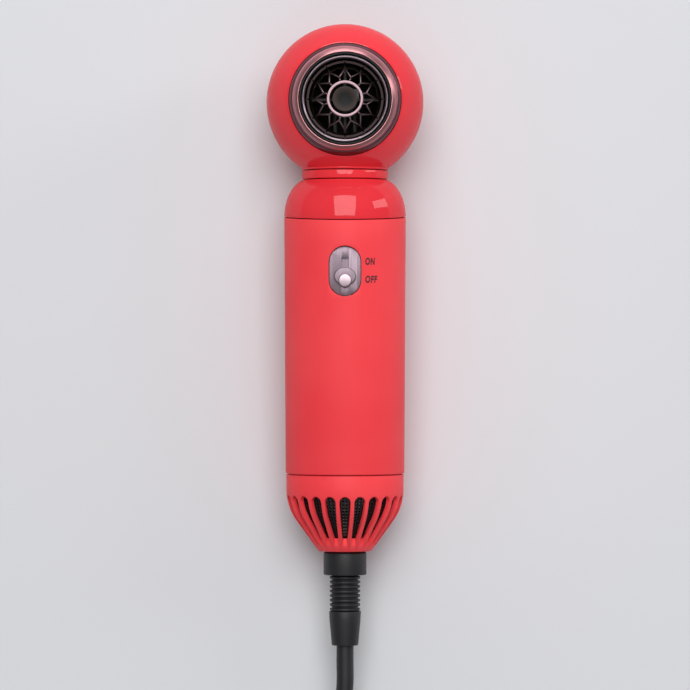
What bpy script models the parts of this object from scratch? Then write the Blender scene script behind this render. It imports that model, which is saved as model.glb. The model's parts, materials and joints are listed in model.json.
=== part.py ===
"""Hand-held pet dryer: ball head, slim handle, slotted intake tail and a mains lead with its plug.

The dryer is modelled upright: handle along +Z, outlet facing -Y, z = 0 at the flat end of the tail.
The last step lays it on its back, where the head and the tail touch the table, and the lead lies on
the same table.  All sizes are in metres.
"""
from math import acos, asin, atan2, cos, hypot, pi, radians, sin, sqrt, tan

import bmesh
import bpy
from mathutils import Matrix, Vector
from mathutils.geometry import interpolate_bezier

# ---- Clearances --------------------------------------------------------------------------------
FIT = 0.0003            # gap between pieces that touch
BALL_FIT = 0.0006       # gap to the ball's inside, whose wall is made of flat facets
SEAM = 0.0004           # visible seam between outer shells
RUNNING_GAP = 0.0005    # impeller tip to duct, and rotor to stator

# ---- Driving sizes: outer shells ---------------------------------------------------------------
BALL_RADIUS = 0.0320
BALL_WALL = 0.0022
BAND_WALL = 0.0014           # band inside the ball, across the split
BAND_WIDTH = 0.0080
BALL_SPLIT = 0.0020          # the front shell reaches this far behind the middle of the ball
NECK_RADIUS = 0.0175
NECK_WALL = 0.0022
NECK_LIP = 0.0007            # straight lip between ball and neck ring
NECK_RING_HEIGHT = 0.0034
SHOULDER_HEIGHT = 0.0148     # from the middle of the handle seam to the neck
SHOULDER_ROUND = 0.0103      # how far the shoulder draws in, as an ellipse's half width
SHOULDER_ROUND_HEIGHT = 0.0155
SEAM_TILT = radians(4.4)     # the shoulder seam dips towards the front
HANDLE_LENGTH = 0.1051
HANDLE_TOP_RADIUS = 0.0248
HANDLE_BOTTOM_RADIUS = 0.0242
HANDLE_BORE = 0.0222
TAIL_LENGTH = 0.0311
TAIL_RIM_RADIUS = 0.0239
TAIL_RIM_HEIGHT = 0.0064
TAIL_ARC_RADIUS = 0.0209
TAIL_END_RADIUS = 0.0109
TAIL_WALL = 0.0020
SLOT_COUNT = 24
SLOT_LOW = 0.0057
SLOT_HIGH = 0.0227
RIB_WIDTH = 0.00155
SLOT_LEAST = 0.0001          # half of a slot's width where the ribs nearly meet
SPIGOT_WALL = 0.0015
SPIGOT_REACH = 0.0070        # how far the tail and the joining ring reach into the handle
SHOULDER_REACH = 0.0040      # how far the joining ring reaches into the shoulder
FILTER_THICKNESS = 0.0006
FILTER_ABOVE = 0.0012        # how far the filter reaches past the tail's widest part

# ---- Driving sizes: outlet ---------------------------------------------------------------------
COLLAR_BASE_RADIUS = 0.0225
COLLAR_FRONT_RADIUS = 0.0188
COLLAR_FRONT = 0.0283        # front of the nozzle, measured from the middle of the ball
COLLAR_WALL = 0.0026
COLLAR_LAND = 0.0004         # flat end of the collar round the rim
COLLAR_FLANGE = 0.0026       # the inner flange is this much wider than the collar
COLLAR_FLANGE_HEIGHT = 0.0019
GROOVE_RADIUS = 0.0208
GROOVE_WIDTH = 0.0005
RIM_LIP = 0.0007             # wall of the black rim at its mouth
BARREL_WALL = 0.0023         # wall of the black barrel behind the rim
BARREL_DEPTH = 0.0125
BEZEL_WALL = 0.0006
BEZEL_MIDDLE_WALL = 0.00096   # the ring thickens inwards down to its seat
BEZEL_HEIGHT = 0.0040
GRILLE_DEPTH = 0.0063        # outer ring of the grille behind the nozzle's front
GRILLE_THICKNESS = 0.0018
GRILLE_DISH = 0.0040         # the middle of the grille stands this much further out
GRILLE_RING_WIDTH = 0.0013
GRILLE_EYE_RADIUS = 0.00633  # opening in the middle of the grille
GRILLE_EYE_RING = 0.0010
PETAL_COUNT = 12
PETAL_TIP = 0.0124
PETAL_FORK = 0.0089
GRILLE_RIB = 0.0007
HUB_RADIUS = 0.0051
HUB_THICKNESS = 0.0018
HUB_DISH = 0.0007
HUB_STEM_RADIUS = 0.0020

# ---- Driving sizes: heater ---------------------------------------------------------------------
SLEEVE_WALL = 0.0006
SLEEVE_LENGTH = 0.0310
MICA_THICKNESS = 0.0010
MICA_SETBACK = 0.0020        # the crossed sheets end this far behind the sleeve's front
COIL_WIRE = 0.0005           # radius of the heating wire
COIL_TURNS = 7
COIL_PITCH = 0.0032
COIL_STEPS = 14              # points of the heating wire in one turn
COIL_MARGIN = 0.0007         # coil to sleeve
HOLDER_WALL = 0.0012
HOLDER_DEPTH = 0.0060
POST_RADIUS = 0.0024
POST_CIRCLE = 0.0195
POST_COUNT = 3
SCREW_HEAD_RADIUS = 0.0018
SCREW_HEAD_HEIGHT = 0.0013
SCREW_SHANK_RADIUS = 0.0009
SCREW_REACH = 0.0050
THERMOSTAT_SIZE = (0.0048, 0.0042, 0.0080)
FUSE_RADIUS = 0.0012
FUSE_LENGTH = 0.0090

# ---- Driving sizes: neck -----------------------------------------------------------------------
NECK_SLEEVE_WALL = 0.0016
NECK_FLANGE = 0.0016
NECK_FLANGE_HEIGHT = 0.0013
NECK_NUT_WALL = 0.0013
NECK_NUT_HEIGHT = 0.0027
NECK_SHELF = 0.0024          # thickness of the shoulder under the neck ring

# ---- Driving sizes: switch ---------------------------------------------------------------------
SWITCH_BELOW_SEAM = 0.0226
SWITCH_WIDTH = 0.0125
SWITCH_HEIGHT = 0.0198
SWITCH_PLATE = 0.0012
SWITCH_RECESS = 0.0013
SWITCH_TRAVEL = 0.0075
BUTTON_RADIUS = 0.0027
BUTTON_HEIGHT = 0.0019
WING_HALF_WIDTH = 0.0044
WING_HALF_HEIGHT = 0.0036
WING_RISE = 0.00165          # the wing's middle lies this far above the button's
WING_THICKNESS = 0.0009
STEM_SIZE = 0.0024
SWITCH_GAP = 0.0014          # plate to switch body
SWITCH_BODY_SIZE = (0.0100, 0.0080, 0.0220)
LEVER_SIZE = (0.0050, 0.0034, 0.0050)
SHUTTER_WIDTH = 0.0050
SHUTTER_THICKNESS = 0.0004
LEVER_FLOOR = 0.0012         # what is left of the lever behind its socket

# ---- Driving sizes: fan, motor and electronics -------------------------------------------------
FAN_ABOVE_TAIL = 0.0120
FAN_LENGTH = 0.0380
FAN_OUTER_RADIUS = 0.0196
FAN_WALL = 0.0012
FAN_HUB_RADIUS = 0.0115
FAN_HUB_WALL = 0.0011
FAN_HUB_BELOW_TOP = 0.0195
VANE_COUNT = 7
VANE_THICKNESS = 0.0010
DAMPER_HEIGHT = 0.0030
DAMPER_FROM_END = 0.0030
CHANNEL_HALF_ANGLE = radians(24)   # opening at the back for the mains leads
MOTOR_CAN_WALL = 0.0008
MOTOR_LENGTH = 0.0180
STATOR_LENGTH = 0.0110
STATOR_WALL = 0.0040
SHAFT_RADIUS = 0.0012
SHAFT_LENGTH = 0.0320
BEARING_WALL = 0.0015
BEARING_HEIGHT = 0.0024
END_CAP_THICKNESS = 0.0014
IMPELLER_HUB_RADIUS = 0.0095
IMPELLER_HUB_HEIGHT = 0.0100
BLADE_COUNT = 11
BLADE_THICKNESS = 0.0009
BLADE_HEIGHT = 0.0080
BLADE_ROOT_ANGLE = radians(30)
BLADE_TIP_ANGLE = radians(52)
FRAME_RING_HEIGHT = 0.0030
FRAME_RING_WALL = 0.0033
POST_WIDTH = 0.0040
BOARD_WIDTH = 0.0280
BOARD_THICKNESS = 0.0016
BOARD_LIFT = 0.0025
BOARD_ABOVE_SWITCH = 0.0040
SLOT_DEPTH = 0.0012          # how deep the board sits in the frame's posts
CAPACITOR_RADIUS = 0.0050
CAPACITOR_LENGTH = 0.0160
CHOKE_RADIUS = 0.0045
CHOKE_HEIGHT = 0.0050
HEAT_SINK_SIZE = (0.0090, 0.0060, 0.0140)
LEAD_RADIUS = 0.0008
MOTOR_LEAD_RADIUS = 0.0012    # three cores in one sheath
LEAD_SPREAD = 0.0020
LEAD_BEND = 0.0020           # unit of the bends in the leads' routes
LEAD_SPACING = 0.0080        # points along a lead

# ---- Driving sizes: mains lead -----------------------------------------------------------------
RELIEF_COLLAR_RADIUS = 0.00875
RELIEF_COLLAR_HEIGHT = 0.0094
RELIEF_NECK_RADIUS = 0.0066
RELIEF_FLANGE_HEIGHT = 0.0016
RELIEF_RIB_COUNT = 8
RELIEF_RIB_PITCH = 0.00185
RELIEF_RIB_RADIUS = 0.0062
RELIEF_GROOVE_RADIUS = 0.0053
RELIEF_GROOVE_AT = 0.1       # where a groove and a rib lie in the pitch
RELIEF_RIB_AT = 0.6
RELIEF_SLEEVE_RADIUS = 0.0065
RELIEF_END_RADIUS = 0.0054
RELIEF_SLEEVE_LENGTH = 0.0140
CORD_RADIUS = 0.0035
CORD_STRAIGHT = 0.0150       # straight out of the strain relief
CORD_ROUTE = ((-0.0014, -0.1535, 0.0182), (-0.0054, -0.1644, 0.0156), (-0.0119, -0.1740, 0.0128))
CORD_HEADING = (-0.0184, -0.1836, 0.0098)      # the lead goes on towards this point, into the hank
CORD_PITCH = 0.0072          # one turn of the hank to the next
HANK_CENTRE = (0.0080, -0.2620)
HANK_RUN = 0.1000            # straight part of each turn
HANK_OUTER_FOLD = 0.0318     # middle of the cord in the widest fold
HANK_INNER_FOLD = 0.0210     # and in the tightest one
HANK_LAYERS = 3
HANK_STEPS = 24              # steps of each round end
LEAD_LEAN = 0.82             # share of the lead's radius between its middle and the hank, as it leaves aslant
HANK_LIFT = 0.0013           # the tie passes under the hank here
TIE_THICKNESS = 0.0008
TIE_WIDTH = 0.0090
PLUG_SETBACK = 0.0586        # the plug's back, from the middle of the hank's far fold
PLUG_ROUTE = ((0.0105, 0.0280, 0.0142), (0.0048, 0.0364, 0.0120), (0.0012, 0.0459, 0.0101))
PLUG_LEAVE = (0.0238, 0.0154)                  # where the lead leaves the hank's inner side
TABLE_GAP = 0.0002
PLUG_BODY = (0.0240, 0.0260, 0.0180)
PLUG_TAPER = 0.62            # size of the plug's back, as a share of its front
PLUG_SHOULDER = 0.55         # share of the plug's length that tapers
PLUG_EDGE = 0.0025
BLADE_SIZE = (0.0015, 0.0160, 0.0064)
BLADE_SPACING = 0.0127

# ---- Surfaces: name, colour, roughness, metallic ------------------------------------------------
OUTSIDE_SURFACES = (
    ("coral_red_lacquer", (0.80, 0.055, 0.065), 0.28, 0.0),
    ("rose_bronze_plating", (0.30, 0.13, 0.11), 0.30, 1.0),
    ("bright_plated_metal", (0.78, 0.70, 0.72), 0.22, 1.0),
    ("brushed_steel", (0.45, 0.42, 0.44), 0.38, 1.0),
)
BLACK_SURFACES = (
    ("black_nylon", (0.02, 0.02, 0.022), 0.45, 0.0),
    ("black_rubber", (0.015, 0.015, 0.015), 0.65, 0.0),
    ("mica_sheet", (0.45, 0.36, 0.24), 0.55, 0.0),
    ("component_sleeve", (0.03, 0.03, 0.05), 0.40, 0.0),
)
METAL_SURFACES = (
    ("steel", (0.55, 0.55, 0.56), 0.35, 1.0),
    ("nickel_chrome_wire", (0.35, 0.30, 0.27), 0.40, 1.0),
    ("copper_winding", (0.60, 0.25, 0.10), 0.35, 1.0),
    ("sintered_magnet", (0.10, 0.10, 0.11), 0.50, 0.6),
    ("aluminium", (0.70, 0.71, 0.72), 0.40, 1.0),
    ("nickel_plated_brass", (0.68, 0.66, 0.60), 0.28, 1.0),
)
PLASTIC_SURFACES = (
    ("board_laminate", (0.03, 0.16, 0.06), 0.50, 0.0),
    ("red_wire_insulation", (0.50, 0.02, 0.02), 0.50, 0.0),
    ("white_wire_insulation", (0.70, 0.70, 0.66), 0.50, 0.0),
    ("grey_tie_plastic", (0.12, 0.12, 0.13), 0.55, 0.0),
)

# ---- Mesh fineness -----------------------------------------------------------------------------
STEPS = 28
SMALL_STEPS = 12
ARC_STEPS = 6

# ---- Places worked out from the sizes ----------------------------------------------------------
BOTTOM_SEAM = TAIL_LENGTH
TAIL_ARC_X = TAIL_RIM_RADIUS - TAIL_ARC_RADIUS     # middle of the tail's arc
TAIL_ARC_Z = TAIL_LENGTH - TAIL_RIM_HEIGHT
TAIL_END_X = TAIL_END_RADIUS - TAIL_ARC_X
TAIL_CONE_ANGLE = atan2(TAIL_ARC_Z, TAIL_END_X) - acos(TAIL_ARC_RADIUS / hypot(TAIL_END_X, TAIL_ARC_Z))
SEAM_MIDDLE = TAIL_LENGTH + HANDLE_LENGTH
SHOULDER_TOP = SEAM_MIDDLE + SHOULDER_HEIGHT
RING_LOW = SHOULDER_TOP + SEAM
RING_HIGH = RING_LOW + NECK_RING_HEIGHT
BALL_LOW = RING_HIGH + SEAM
BALL_Z = BALL_LOW + NECK_LIP + sqrt(BALL_RADIUS ** 2 - NECK_RADIUS ** 2)
BALL_INNER = BALL_RADIUS - BALL_WALL
NECK_BORE = NECK_RADIUS - NECK_WALL
NECK_FLANGE_RADIUS = NECK_BORE + NECK_FLANGE - FIT
NECK_FLANGE_LOW = BALL_Z - sqrt((BALL_INNER - BALL_FIT) ** 2 - NECK_FLANGE_RADIUS ** 2)
NECK_TOP = NECK_FLANGE_LOW + NECK_FLANGE_HEIGHT
SWITCH_Z = SEAM_MIDDLE - SWITCH_BELOW_SEAM
FAN_LOW = TAIL_LENGTH + FAN_ABOVE_TAIL
FAN_HIGH = FAN_LOW + FAN_LENGTH
FAN_INNER_RADIUS = FAN_OUTER_RADIUS - FAN_WALL
HUB_LOW = FAN_HIGH - FAN_HUB_BELOW_TOP
MOTOR_RADIUS = FAN_HUB_RADIUS - FAN_HUB_WALL - FIT
MOTOR_LOW = HUB_LOW
MOTOR_HIGH = MOTOR_LOW + MOTOR_LENGTH
FRAME_LOW = FAN_HIGH + FIT
FRAME_HIGH = FRAME_LOW + FRAME_RING_HEIGHT
BOARD_LOW = FRAME_HIGH + BOARD_LIFT
BOARD_HIGH = SWITCH_Z + SWITCH_HEIGHT / 2 + BOARD_ABOVE_SWITCH


def handle_radius(z):
    """Outer radius of the tapered handle at height z."""
    share = (z - TAIL_LENGTH) / HANDLE_LENGTH
    return HANDLE_BOTTOM_RADIUS + share * (HANDLE_TOP_RADIUS - HANDLE_BOTTOM_RADIUS)


PLATE_FRONT = handle_radius(SWITCH_Z) - SWITCH_RECESS      # distances forward of the handle's axis
PLATE_BACK = PLATE_FRONT - SWITCH_PLATE
SWITCH_BODY_FRONT = PLATE_BACK - SWITCH_GAP
SWITCH_BODY_BACK = SWITCH_BODY_FRONT - SWITCH_BODY_SIZE[1]
BOARD_FRONT = SWITCH_BODY_BACK - FIT
BOARD_BACK = BOARD_FRONT - BOARD_THICKNESS
GRILLE_BACK = COLLAR_FRONT - GRILLE_DEPTH - GRILLE_THICKNESS
COLLAR_BORE = COLLAR_FRONT_RADIUS
RIM_RADIUS = COLLAR_BORE - FIT
BARREL_BORE = RIM_RADIUS - BARREL_WALL
BARREL_BACK = COLLAR_FRONT - BARREL_DEPTH
GRILLE_RADIUS = BARREL_BORE - FIT
SLEEVE_RADIUS = BARREL_BORE - FIT
SLEEVE_FRONT = GRILLE_BACK - FIT
SLEEVE_BACK = SLEEVE_FRONT - SLEEVE_LENGTH
COIL_RADIUS = SLEEVE_RADIUS - SLEEVE_WALL - COIL_MARGIN - COIL_WIRE
MICA_RADIUS = COIL_RADIUS - COIL_WIRE - FIT
MICA_FRONT = SLEEVE_FRONT - MICA_SETBACK
HOLDER_RADIUS = SLEEVE_RADIUS + FIT + HOLDER_WALL
HOLDER_BACK = SLEEVE_BACK - FIT - HOLDER_WALL


# ---- Helpers -----------------------------------------------------------------------------------
def material(name, colour, roughness, metallic):
    """A Principled material for one sub-part."""
    made = bpy.data.materials.new(name)
    made.use_nodes = True
    shader = made.node_tree.nodes["Principled BSDF"]
    shader.inputs["Base Color"].default_value = (*colour, 1.0)
    shader.inputs["Roughness"].default_value = roughness
    shader.inputs["Metallic"].default_value = metallic
    return made


def place(name, data, surface, parent):
    """Links an object and hangs it on its parent empty."""
    item = bpy.data.objects.new(name, data)
    bpy.context.scene.collection.objects.link(item)
    item.parent = parent
    if surface is not None:
        data.materials.append(surface)
    return item


def finished(name, bm, surface, parent):
    """Turns a bmesh into an object with smooth round faces."""
    bmesh.ops.recalc_face_normals(bm, faces=bm.faces)
    mesh = bpy.data.meshes.new(name)
    bm.to_mesh(mesh)
    bm.free()
    mesh.shade_smooth()
    mesh.set_sharp_from_angle(angle=radians(35))
    return place(name, mesh, surface, parent)


def add_turned(bm, outline, steps, phase=0.0):
    """Spins an outline of (radius, height) points round the local Z axis, first at angle phase."""
    on_axis = outline[0][0] == 0 and outline[-1][0] == 0
    verts = [bm.verts.new((radius * cos(phase), radius * sin(phase), height)) for radius, height in outline]
    pairs = list(zip(verts, verts[1:]))
    if not on_axis:
        pairs.append((verts[-1], verts[0]))
    edges = [bm.edges.new(pair) for pair in pairs]
    bmesh.ops.spin(bm, geom=verts + edges, cent=(0, 0, 0), axis=(0, 0, 1), angle=2 * pi,
                   steps=steps, use_merge=True)
    bmesh.ops.remove_doubles(bm, verts=bm.verts, dist=1e-7)


def turned(name, outline, surface, parent, steps=STEPS, phase=0.0):
    """A turned piece."""
    bm = bmesh.new()
    add_turned(bm, outline, steps, phase)
    return finished(name, bm, surface, parent)


def ring(name, inner, outer, low, high, surface, parent, steps=STEPS):
    """A plain tube."""
    outline = [(inner, low), (outer, low), (outer, high), (inner, high)]
    return turned(name, outline, surface, parent, steps)


def rod_outline(radius, low, high):
    """Outline of a solid round bar."""
    return [(0, low), (radius, low), (radius, high), (0, high)]


def add_prism(bm, corners, low, high):
    """A flat outline of (x, y) corners, extruded along the local Z axis."""
    face = bm.faces.new([bm.verts.new((x, y, low)) for x, y in corners])
    grown = bmesh.ops.extrude_face_region(bm, geom=[face])
    moved = [part for part in grown["geom"] if isinstance(part, bmesh.types.BMVert)]
    bmesh.ops.translate(bm, verts=moved, vec=(0, 0, high - low))


def prisms(name, outlines, low, high, surface, parent):
    """One object of several extruded outlines."""
    bm = bmesh.new()
    for corners in outlines:
        add_prism(bm, corners, low, high)
    return finished(name, bm, surface, parent)


def rectangle(x_low, x_high, y_low, y_high):
    """Corners of a rectangle."""
    return [(x_low, y_low), (x_high, y_low), (x_high, y_high), (x_low, y_high)]


def block(name, x_range, y_range, z_range, surface, parent):
    """A box between two corners."""
    return prisms(name, [rectangle(*x_range, *y_range)], *z_range, surface, parent)


def arc(x, y, radius, start, end, steps=ARC_STEPS):
    """Points of an arc about (x, y)."""
    angles = [start + (end - start) * step / steps for step in range(steps + 1)]
    return [(x + radius * cos(angle), y + radius * sin(angle)) for angle in angles]


def ellipse_arc(x, y, half_width, half_height, start, end, steps=ARC_STEPS):
    """Points of an arc of an ellipse about (x, y)."""
    angles = [start + (end - start) * step / steps for step in range(steps + 1)]
    return [(x + half_width * cos(angle), y + half_height * sin(angle)) for angle in angles]


def stadium(width, height, middle, steps=ARC_STEPS):
    """Outline with straight sides and round ends, its middle at (0, middle)."""
    radius = width / 2
    reach = height / 2 - radius
    top = arc(0, middle + reach, radius, 0, pi, steps)
    return top + arc(0, middle - reach, radius, pi, 2 * pi, steps)


def hide(cutter):
    """A cutter isn't a piece of the dryer."""
    cutter.hide_render = True
    cutter.display_type = "WIRE"


def combine(piece, other, operation):
    """A boolean between two objects; the other one only serves as a tool."""
    modifier = piece.modifiers.new(operation.title(), "BOOLEAN")
    modifier.operation = operation
    modifier.object = other
    hide(other)


def cut(piece, cutter):
    combine(piece, cutter, "DIFFERENCE")


def weld(piece, other):
    combine(piece, other, "UNION")


def smooth_route(points, spacing):
    """Evenly spaced points on a smooth curve through the given ones."""
    knots = [Vector(point) for point in points]
    lengths = [(b - a).length for a, b in zip(knots, knots[1:])]
    slopes = []
    for index in range(len(knots)):
        low = max(index - 1, 0)
        high = min(index + 1, len(knots) - 1)
        slopes.append((knots[high] - knots[low]) / sum(lengths[low:high]))
    dense = []
    for index, length in enumerate(lengths):
        first = knots[index] + slopes[index] * length / 3
        second = knots[index + 1] - slopes[index + 1] * length / 3
        dense += interpolate_bezier(knots[index], first, second, knots[index + 1], 33)[:-1]
    dense.append(knots[-1])
    total = sum((b - a).length for a, b in zip(dense, dense[1:]))
    count = max(2, round(total / spacing))
    route = [dense[0]]
    travelled = 0.0
    for a, b in zip(dense, dense[1:]):
        step = (b - a).length
        while len(route) < count and travelled + step >= total * len(route) / count:
            wanted = total * len(route) / count
            route.append(a.lerp(b, (wanted - travelled) / step))
        travelled += step
    route.append(dense[-1])
    return route


def wire(name, route, radius, surface, parent, resolution=2):
    """A round wire along an open route, closed at both ends."""
    curve = bpy.data.curves.new(name, "CURVE")
    curve.dimensions = "3D"
    curve.bevel_depth = radius
    curve.bevel_resolution = resolution
    curve.use_fill_caps = True
    spline = curve.splines.new("POLY")
    spline.points.add(len(route) - 1)
    for slot, point in zip(spline.points, route):
        slot.co = (*point, 1.0)
    return place(name, curve, surface, parent)


def empty(name, parent, location=(0, 0, 0), rotation=(0, 0, 0)):
    """An axis or frame that pieces hang on."""
    item = bpy.data.objects.new(name, None)
    bpy.context.scene.collection.objects.link(item)
    item.parent = parent
    item.location = location
    item.rotation_euler = rotation
    return item


# ---- Outer shells ------------------------------------------------------------------------------
def ball_outline():
    """Closed outline of the whole ball shell with its lip at the neck."""
    mouth = asin(NECK_RADIUS / BALL_RADIUS)
    inner_mouth = asin(NECK_BORE / BALL_INNER)
    steps = 2 * ARC_STEPS
    outer = arc(0, BALL_Z, BALL_RADIUS, mouth - pi / 2, pi / 2, steps)
    inner = arc(0, BALL_Z, BALL_INNER, pi / 2, inner_mouth - pi / 2, steps)
    outer[-1] = (0, BALL_Z + BALL_RADIUS)
    inner[0] = (0, BALL_Z + BALL_INNER)
    return inner + [(NECK_BORE, BALL_LOW), (NECK_RADIUS, BALL_LOW)] + outer


def half_space(name, y_low, y_high, parent):
    """A block that removes one side of the ball."""
    reach = BALL_RADIUS * 1.2
    return block(name, (-reach, reach), (y_low, y_high), (BALL_Z - reach, BALL_Z + reach), None, parent)


def head_shells(upright, outlet, red):
    """The ball's front and rear shells, and the ring that joins them inside."""
    far = BALL_RADIUS * 1.3
    front = turned("head_front_shell", ball_outline(), red, upright)
    cut(front, half_space("rear_space", BALL_SPLIT - FIT / 2, far, upright))
    opening = rod_outline(COLLAR_BASE_RADIUS + FIT, BALL_RADIUS / 3, far)
    cut(front, turned("outlet_cutter", opening, None, outlet))
    rear = turned("head_rear_shell", ball_outline(), red, upright)
    cut(rear, half_space("front_space", -far, BALL_SPLIT + FIT / 2, upright))
    core_radius = BALL_RADIUS - BALL_WALL / 2
    core_arc = arc(0, 0, core_radius, -pi / 2, pi / 2, 2 * ARC_STEPS)[1:-1]
    core = turned("ball_core", [(0, -core_radius), *core_arc, (0, core_radius)], None, outlet)
    face = HOLDER_BACK - FIT
    posts = prisms("posts", on_posts(POST_RADIUS), -BALL_RADIUS, face, None, outlet)
    combine(posts, core, "INTERSECT")
    weld(rear, posts)
    cut(rear, prisms("post_bores", on_posts(SCREW_SHANK_RADIUS + FIT), face - SCREW_REACH - FIT,
                     face + SCREW_REACH, None, outlet))


def post_place(index):
    """Where a post of the rear shell stands, seen along the outlet's axis."""
    angle = pi / 2 + index * 2 * pi / POST_COUNT
    return POST_CIRCLE * cos(angle), POST_CIRCLE * sin(angle)


def on_posts(radius):
    """A circle on each post."""
    return [arc(*post_place(index), radius, 0, 2 * pi, SMALL_STEPS)[:-1] for index in range(POST_COUNT)]


def joining_band(outlet, upright, black):
    """A band inside the ball behind the split, open at the neck."""
    outer = BALL_INNER - BALL_FIT
    inner = outer - BAND_WALL
    half = BAND_WIDTH / 2
    lean = asin(half / outer)
    inner_lean = asin(half / inner)
    outline = arc(0, 0, outer, -lean, lean, 4) + arc(0, 0, inner, inner_lean, -inner_lean, 4)
    band = turned("head_joining_band", [(x, z - BALL_SPLIT) for x, z in outline], black, outlet)
    cut(band, neck_space("band_cutter", BALL_Z, upright))


def neck_space(name, high, upright):
    """The room above the neck that stays clear of the pieces round the outlet."""
    return turned(name, rod_outline(NECK_RADIUS + NECK_WALL, BALL_Z - BALL_RADIUS, high), None, upright)


def neck(upright, red, black):
    """The visible ring, the sleeve through the neck and its nut."""
    sleeve_radius = NECK_BORE - FIT
    ring("neck_ring", NECK_BORE, NECK_RADIUS, RING_LOW, RING_HIGH, red, upright)
    nut_high = SHOULDER_TOP - NECK_SHELF - FIT
    nut_low = nut_high - NECK_NUT_HEIGHT
    ring("neck_nut", NECK_BORE, NECK_BORE + NECK_NUT_WALL, nut_low, nut_high, black, upright)
    bore = sleeve_radius - NECK_SLEEVE_WALL
    outline = [(bore, nut_low), (sleeve_radius, nut_low), (sleeve_radius, NECK_FLANGE_LOW),
               (NECK_FLANGE_RADIUS, NECK_FLANGE_LOW), (NECK_FLANGE_RADIUS, NECK_TOP), (bore, NECK_TOP)]
    turned("neck_sleeve", outline, black, upright)


def seam_block(name, z_offset, upward, parent):
    """A block on one side of the tilted seam between shoulder and handle."""
    reach = HANDLE_TOP_RADIUS * 1.5
    depth = SHOULDER_HEIGHT * 1.5
    low, high = (0, depth) if upward else (-depth, 0)
    item = block(name, (-reach, reach), (-reach, reach), (low, high), None, parent)
    item.location = (0, 0, SEAM_MIDDLE + z_offset)
    item.rotation_euler = (SEAM_TILT, 0, 0)
    return item


def shoulder_profile(inset, seat):
    """The shoulder's quarter ellipse from the handle up to a height, at an inset from the surface."""
    middle = HANDLE_TOP_RADIUS - SHOULDER_ROUND
    half_height = SHOULDER_ROUND_HEIGHT - inset
    end = asin((seat - SEAM_MIDDLE) / half_height)
    return ellipse_arc(middle, SEAM_MIDDLE, SHOULDER_ROUND - inset, half_height, 0, end)


def shoulder(upright, red):
    """The domed cap between neck and handle, cut on the tilted seam."""
    shelf = SHOULDER_TOP - NECK_SHELF
    low = SEAM_MIDDLE - SHOULDER_HEIGHT / 3
    outer = shoulder_profile(0, SHOULDER_TOP)
    inner = shoulder_profile(HANDLE_TOP_RADIUS - HANDLE_BORE, shelf)
    outline = [(HANDLE_BORE, low), (HANDLE_TOP_RADIUS, low)] + outer
    outline += [(NECK_BORE, SHOULDER_TOP), (NECK_BORE, shelf)] + inner[::-1]
    cap = turned("shoulder_cap", outline, red, upright)
    cut(cap, seam_block("below_seam", SEAM / 2, False, upright))


def shoulder_ring(upright, black):
    """A ring in the bores of the handle and the shoulder that joins them."""
    outer = HANDLE_BORE - FIT
    inset = HANDLE_TOP_RADIUS - HANDLE_BORE
    slope = sqrt(1 - (SHOULDER_REACH / (SHOULDER_ROUND_HEIGHT - inset)) ** 2)
    top = HANDLE_BORE - (SHOULDER_ROUND - inset) * (1 - slope) - FIT
    high = SEAM_MIDDLE + SHOULDER_REACH
    bore = top - SPIGOT_WALL
    outline = [(bore, SEAM_MIDDLE - SPIGOT_REACH), (outer, SEAM_MIDDLE - SPIGOT_REACH), (outer, SEAM_MIDDLE),
               (top, high), (bore, high)]
    turned("joining_ring", outline, black, upright)


def handle(upright, red):
    """The handle tube with its tilted top and the opening for the switch plate."""
    top = SEAM_MIDDLE + SHOULDER_HEIGHT / 3
    low = BOTTOM_SEAM + SEAM
    outline = [(HANDLE_BORE, low), (handle_radius(low), low), (handle_radius(SEAM_MIDDLE), SEAM_MIDDLE),
               (HANDLE_TOP_RADIUS, top), (HANDLE_BORE, top)]
    tube = turned("handle_tube", outline, red, upright)
    cut(tube, seam_block("above_seam", -SEAM / 2, True, upright))
    opening = stadium(SWITCH_WIDTH + 2 * FIT, SWITCH_HEIGHT + 2 * FIT, SWITCH_Z)
    cutter = prisms("switch_opening", [opening], HANDLE_BORE / 2, HANDLE_TOP_RADIUS * 1.2, None, upright)
    cutter.rotation_euler = (pi / 2, 0, 0)
    cut(tube, cutter)


def tail_outline(inset, z_top, z_end):
    """The tail's surface at an inset, from its rim down to z_end."""
    radius = TAIL_ARC_RADIUS - inset
    curve = arc(TAIL_ARC_X, TAIL_ARC_Z, radius, 0, -TAIL_CONE_ANGLE, 3)
    fall = (TAIL_ARC_Z - z_end) * sin(TAIL_CONE_ANGLE)
    end = TAIL_ARC_X + (radius - fall) / cos(TAIL_CONE_ANGLE)
    return [(TAIL_ARC_X + radius, z_top)] + curve + [(end, z_end)]


def slot_cutter(parent):
    """Wedges between ribs of even width, with round tops."""
    half_pitch = pi / SLOT_COUNT
    near = RELIEF_NECK_RADIUS
    far = TAIL_RIM_RADIUS * 1.2
    bm = bmesh.new()

    def half_gap(radius):
        return max(radius * tan(half_pitch) - RIB_WIDTH / 2 / cos(half_pitch), SLOT_LEAST)

    end_radius = half_gap(TAIL_RIM_RADIUS)
    shape = [(-1, SLOT_LOW), (1, SLOT_LOW)]
    shape += [(cos(angle), SLOT_HIGH - end_radius * (1 - sin(angle)))
              for angle in (0, pi / 3, 2 * pi / 3, pi)]
    for index in range(SLOT_COUNT):
        turn = Matrix.Rotation(index * 2 * half_pitch, 4, "Z")
        loops = []
        for radius in (near, far):
            points = [turn @ Vector((radius, share * half_gap(radius), z)) for share, z in shape]
            loops.append([bm.verts.new(point) for point in points])
        bm.faces.new(loops[0])
        bm.faces.new(loops[1])
        count = len(shape)
        for corner in range(count):
            after = (corner + 1) % count
            bm.faces.new((loops[0][corner], loops[0][after], loops[1][after], loops[1][corner]))
    return finished("slot_cutter", bm, None, parent)


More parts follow.
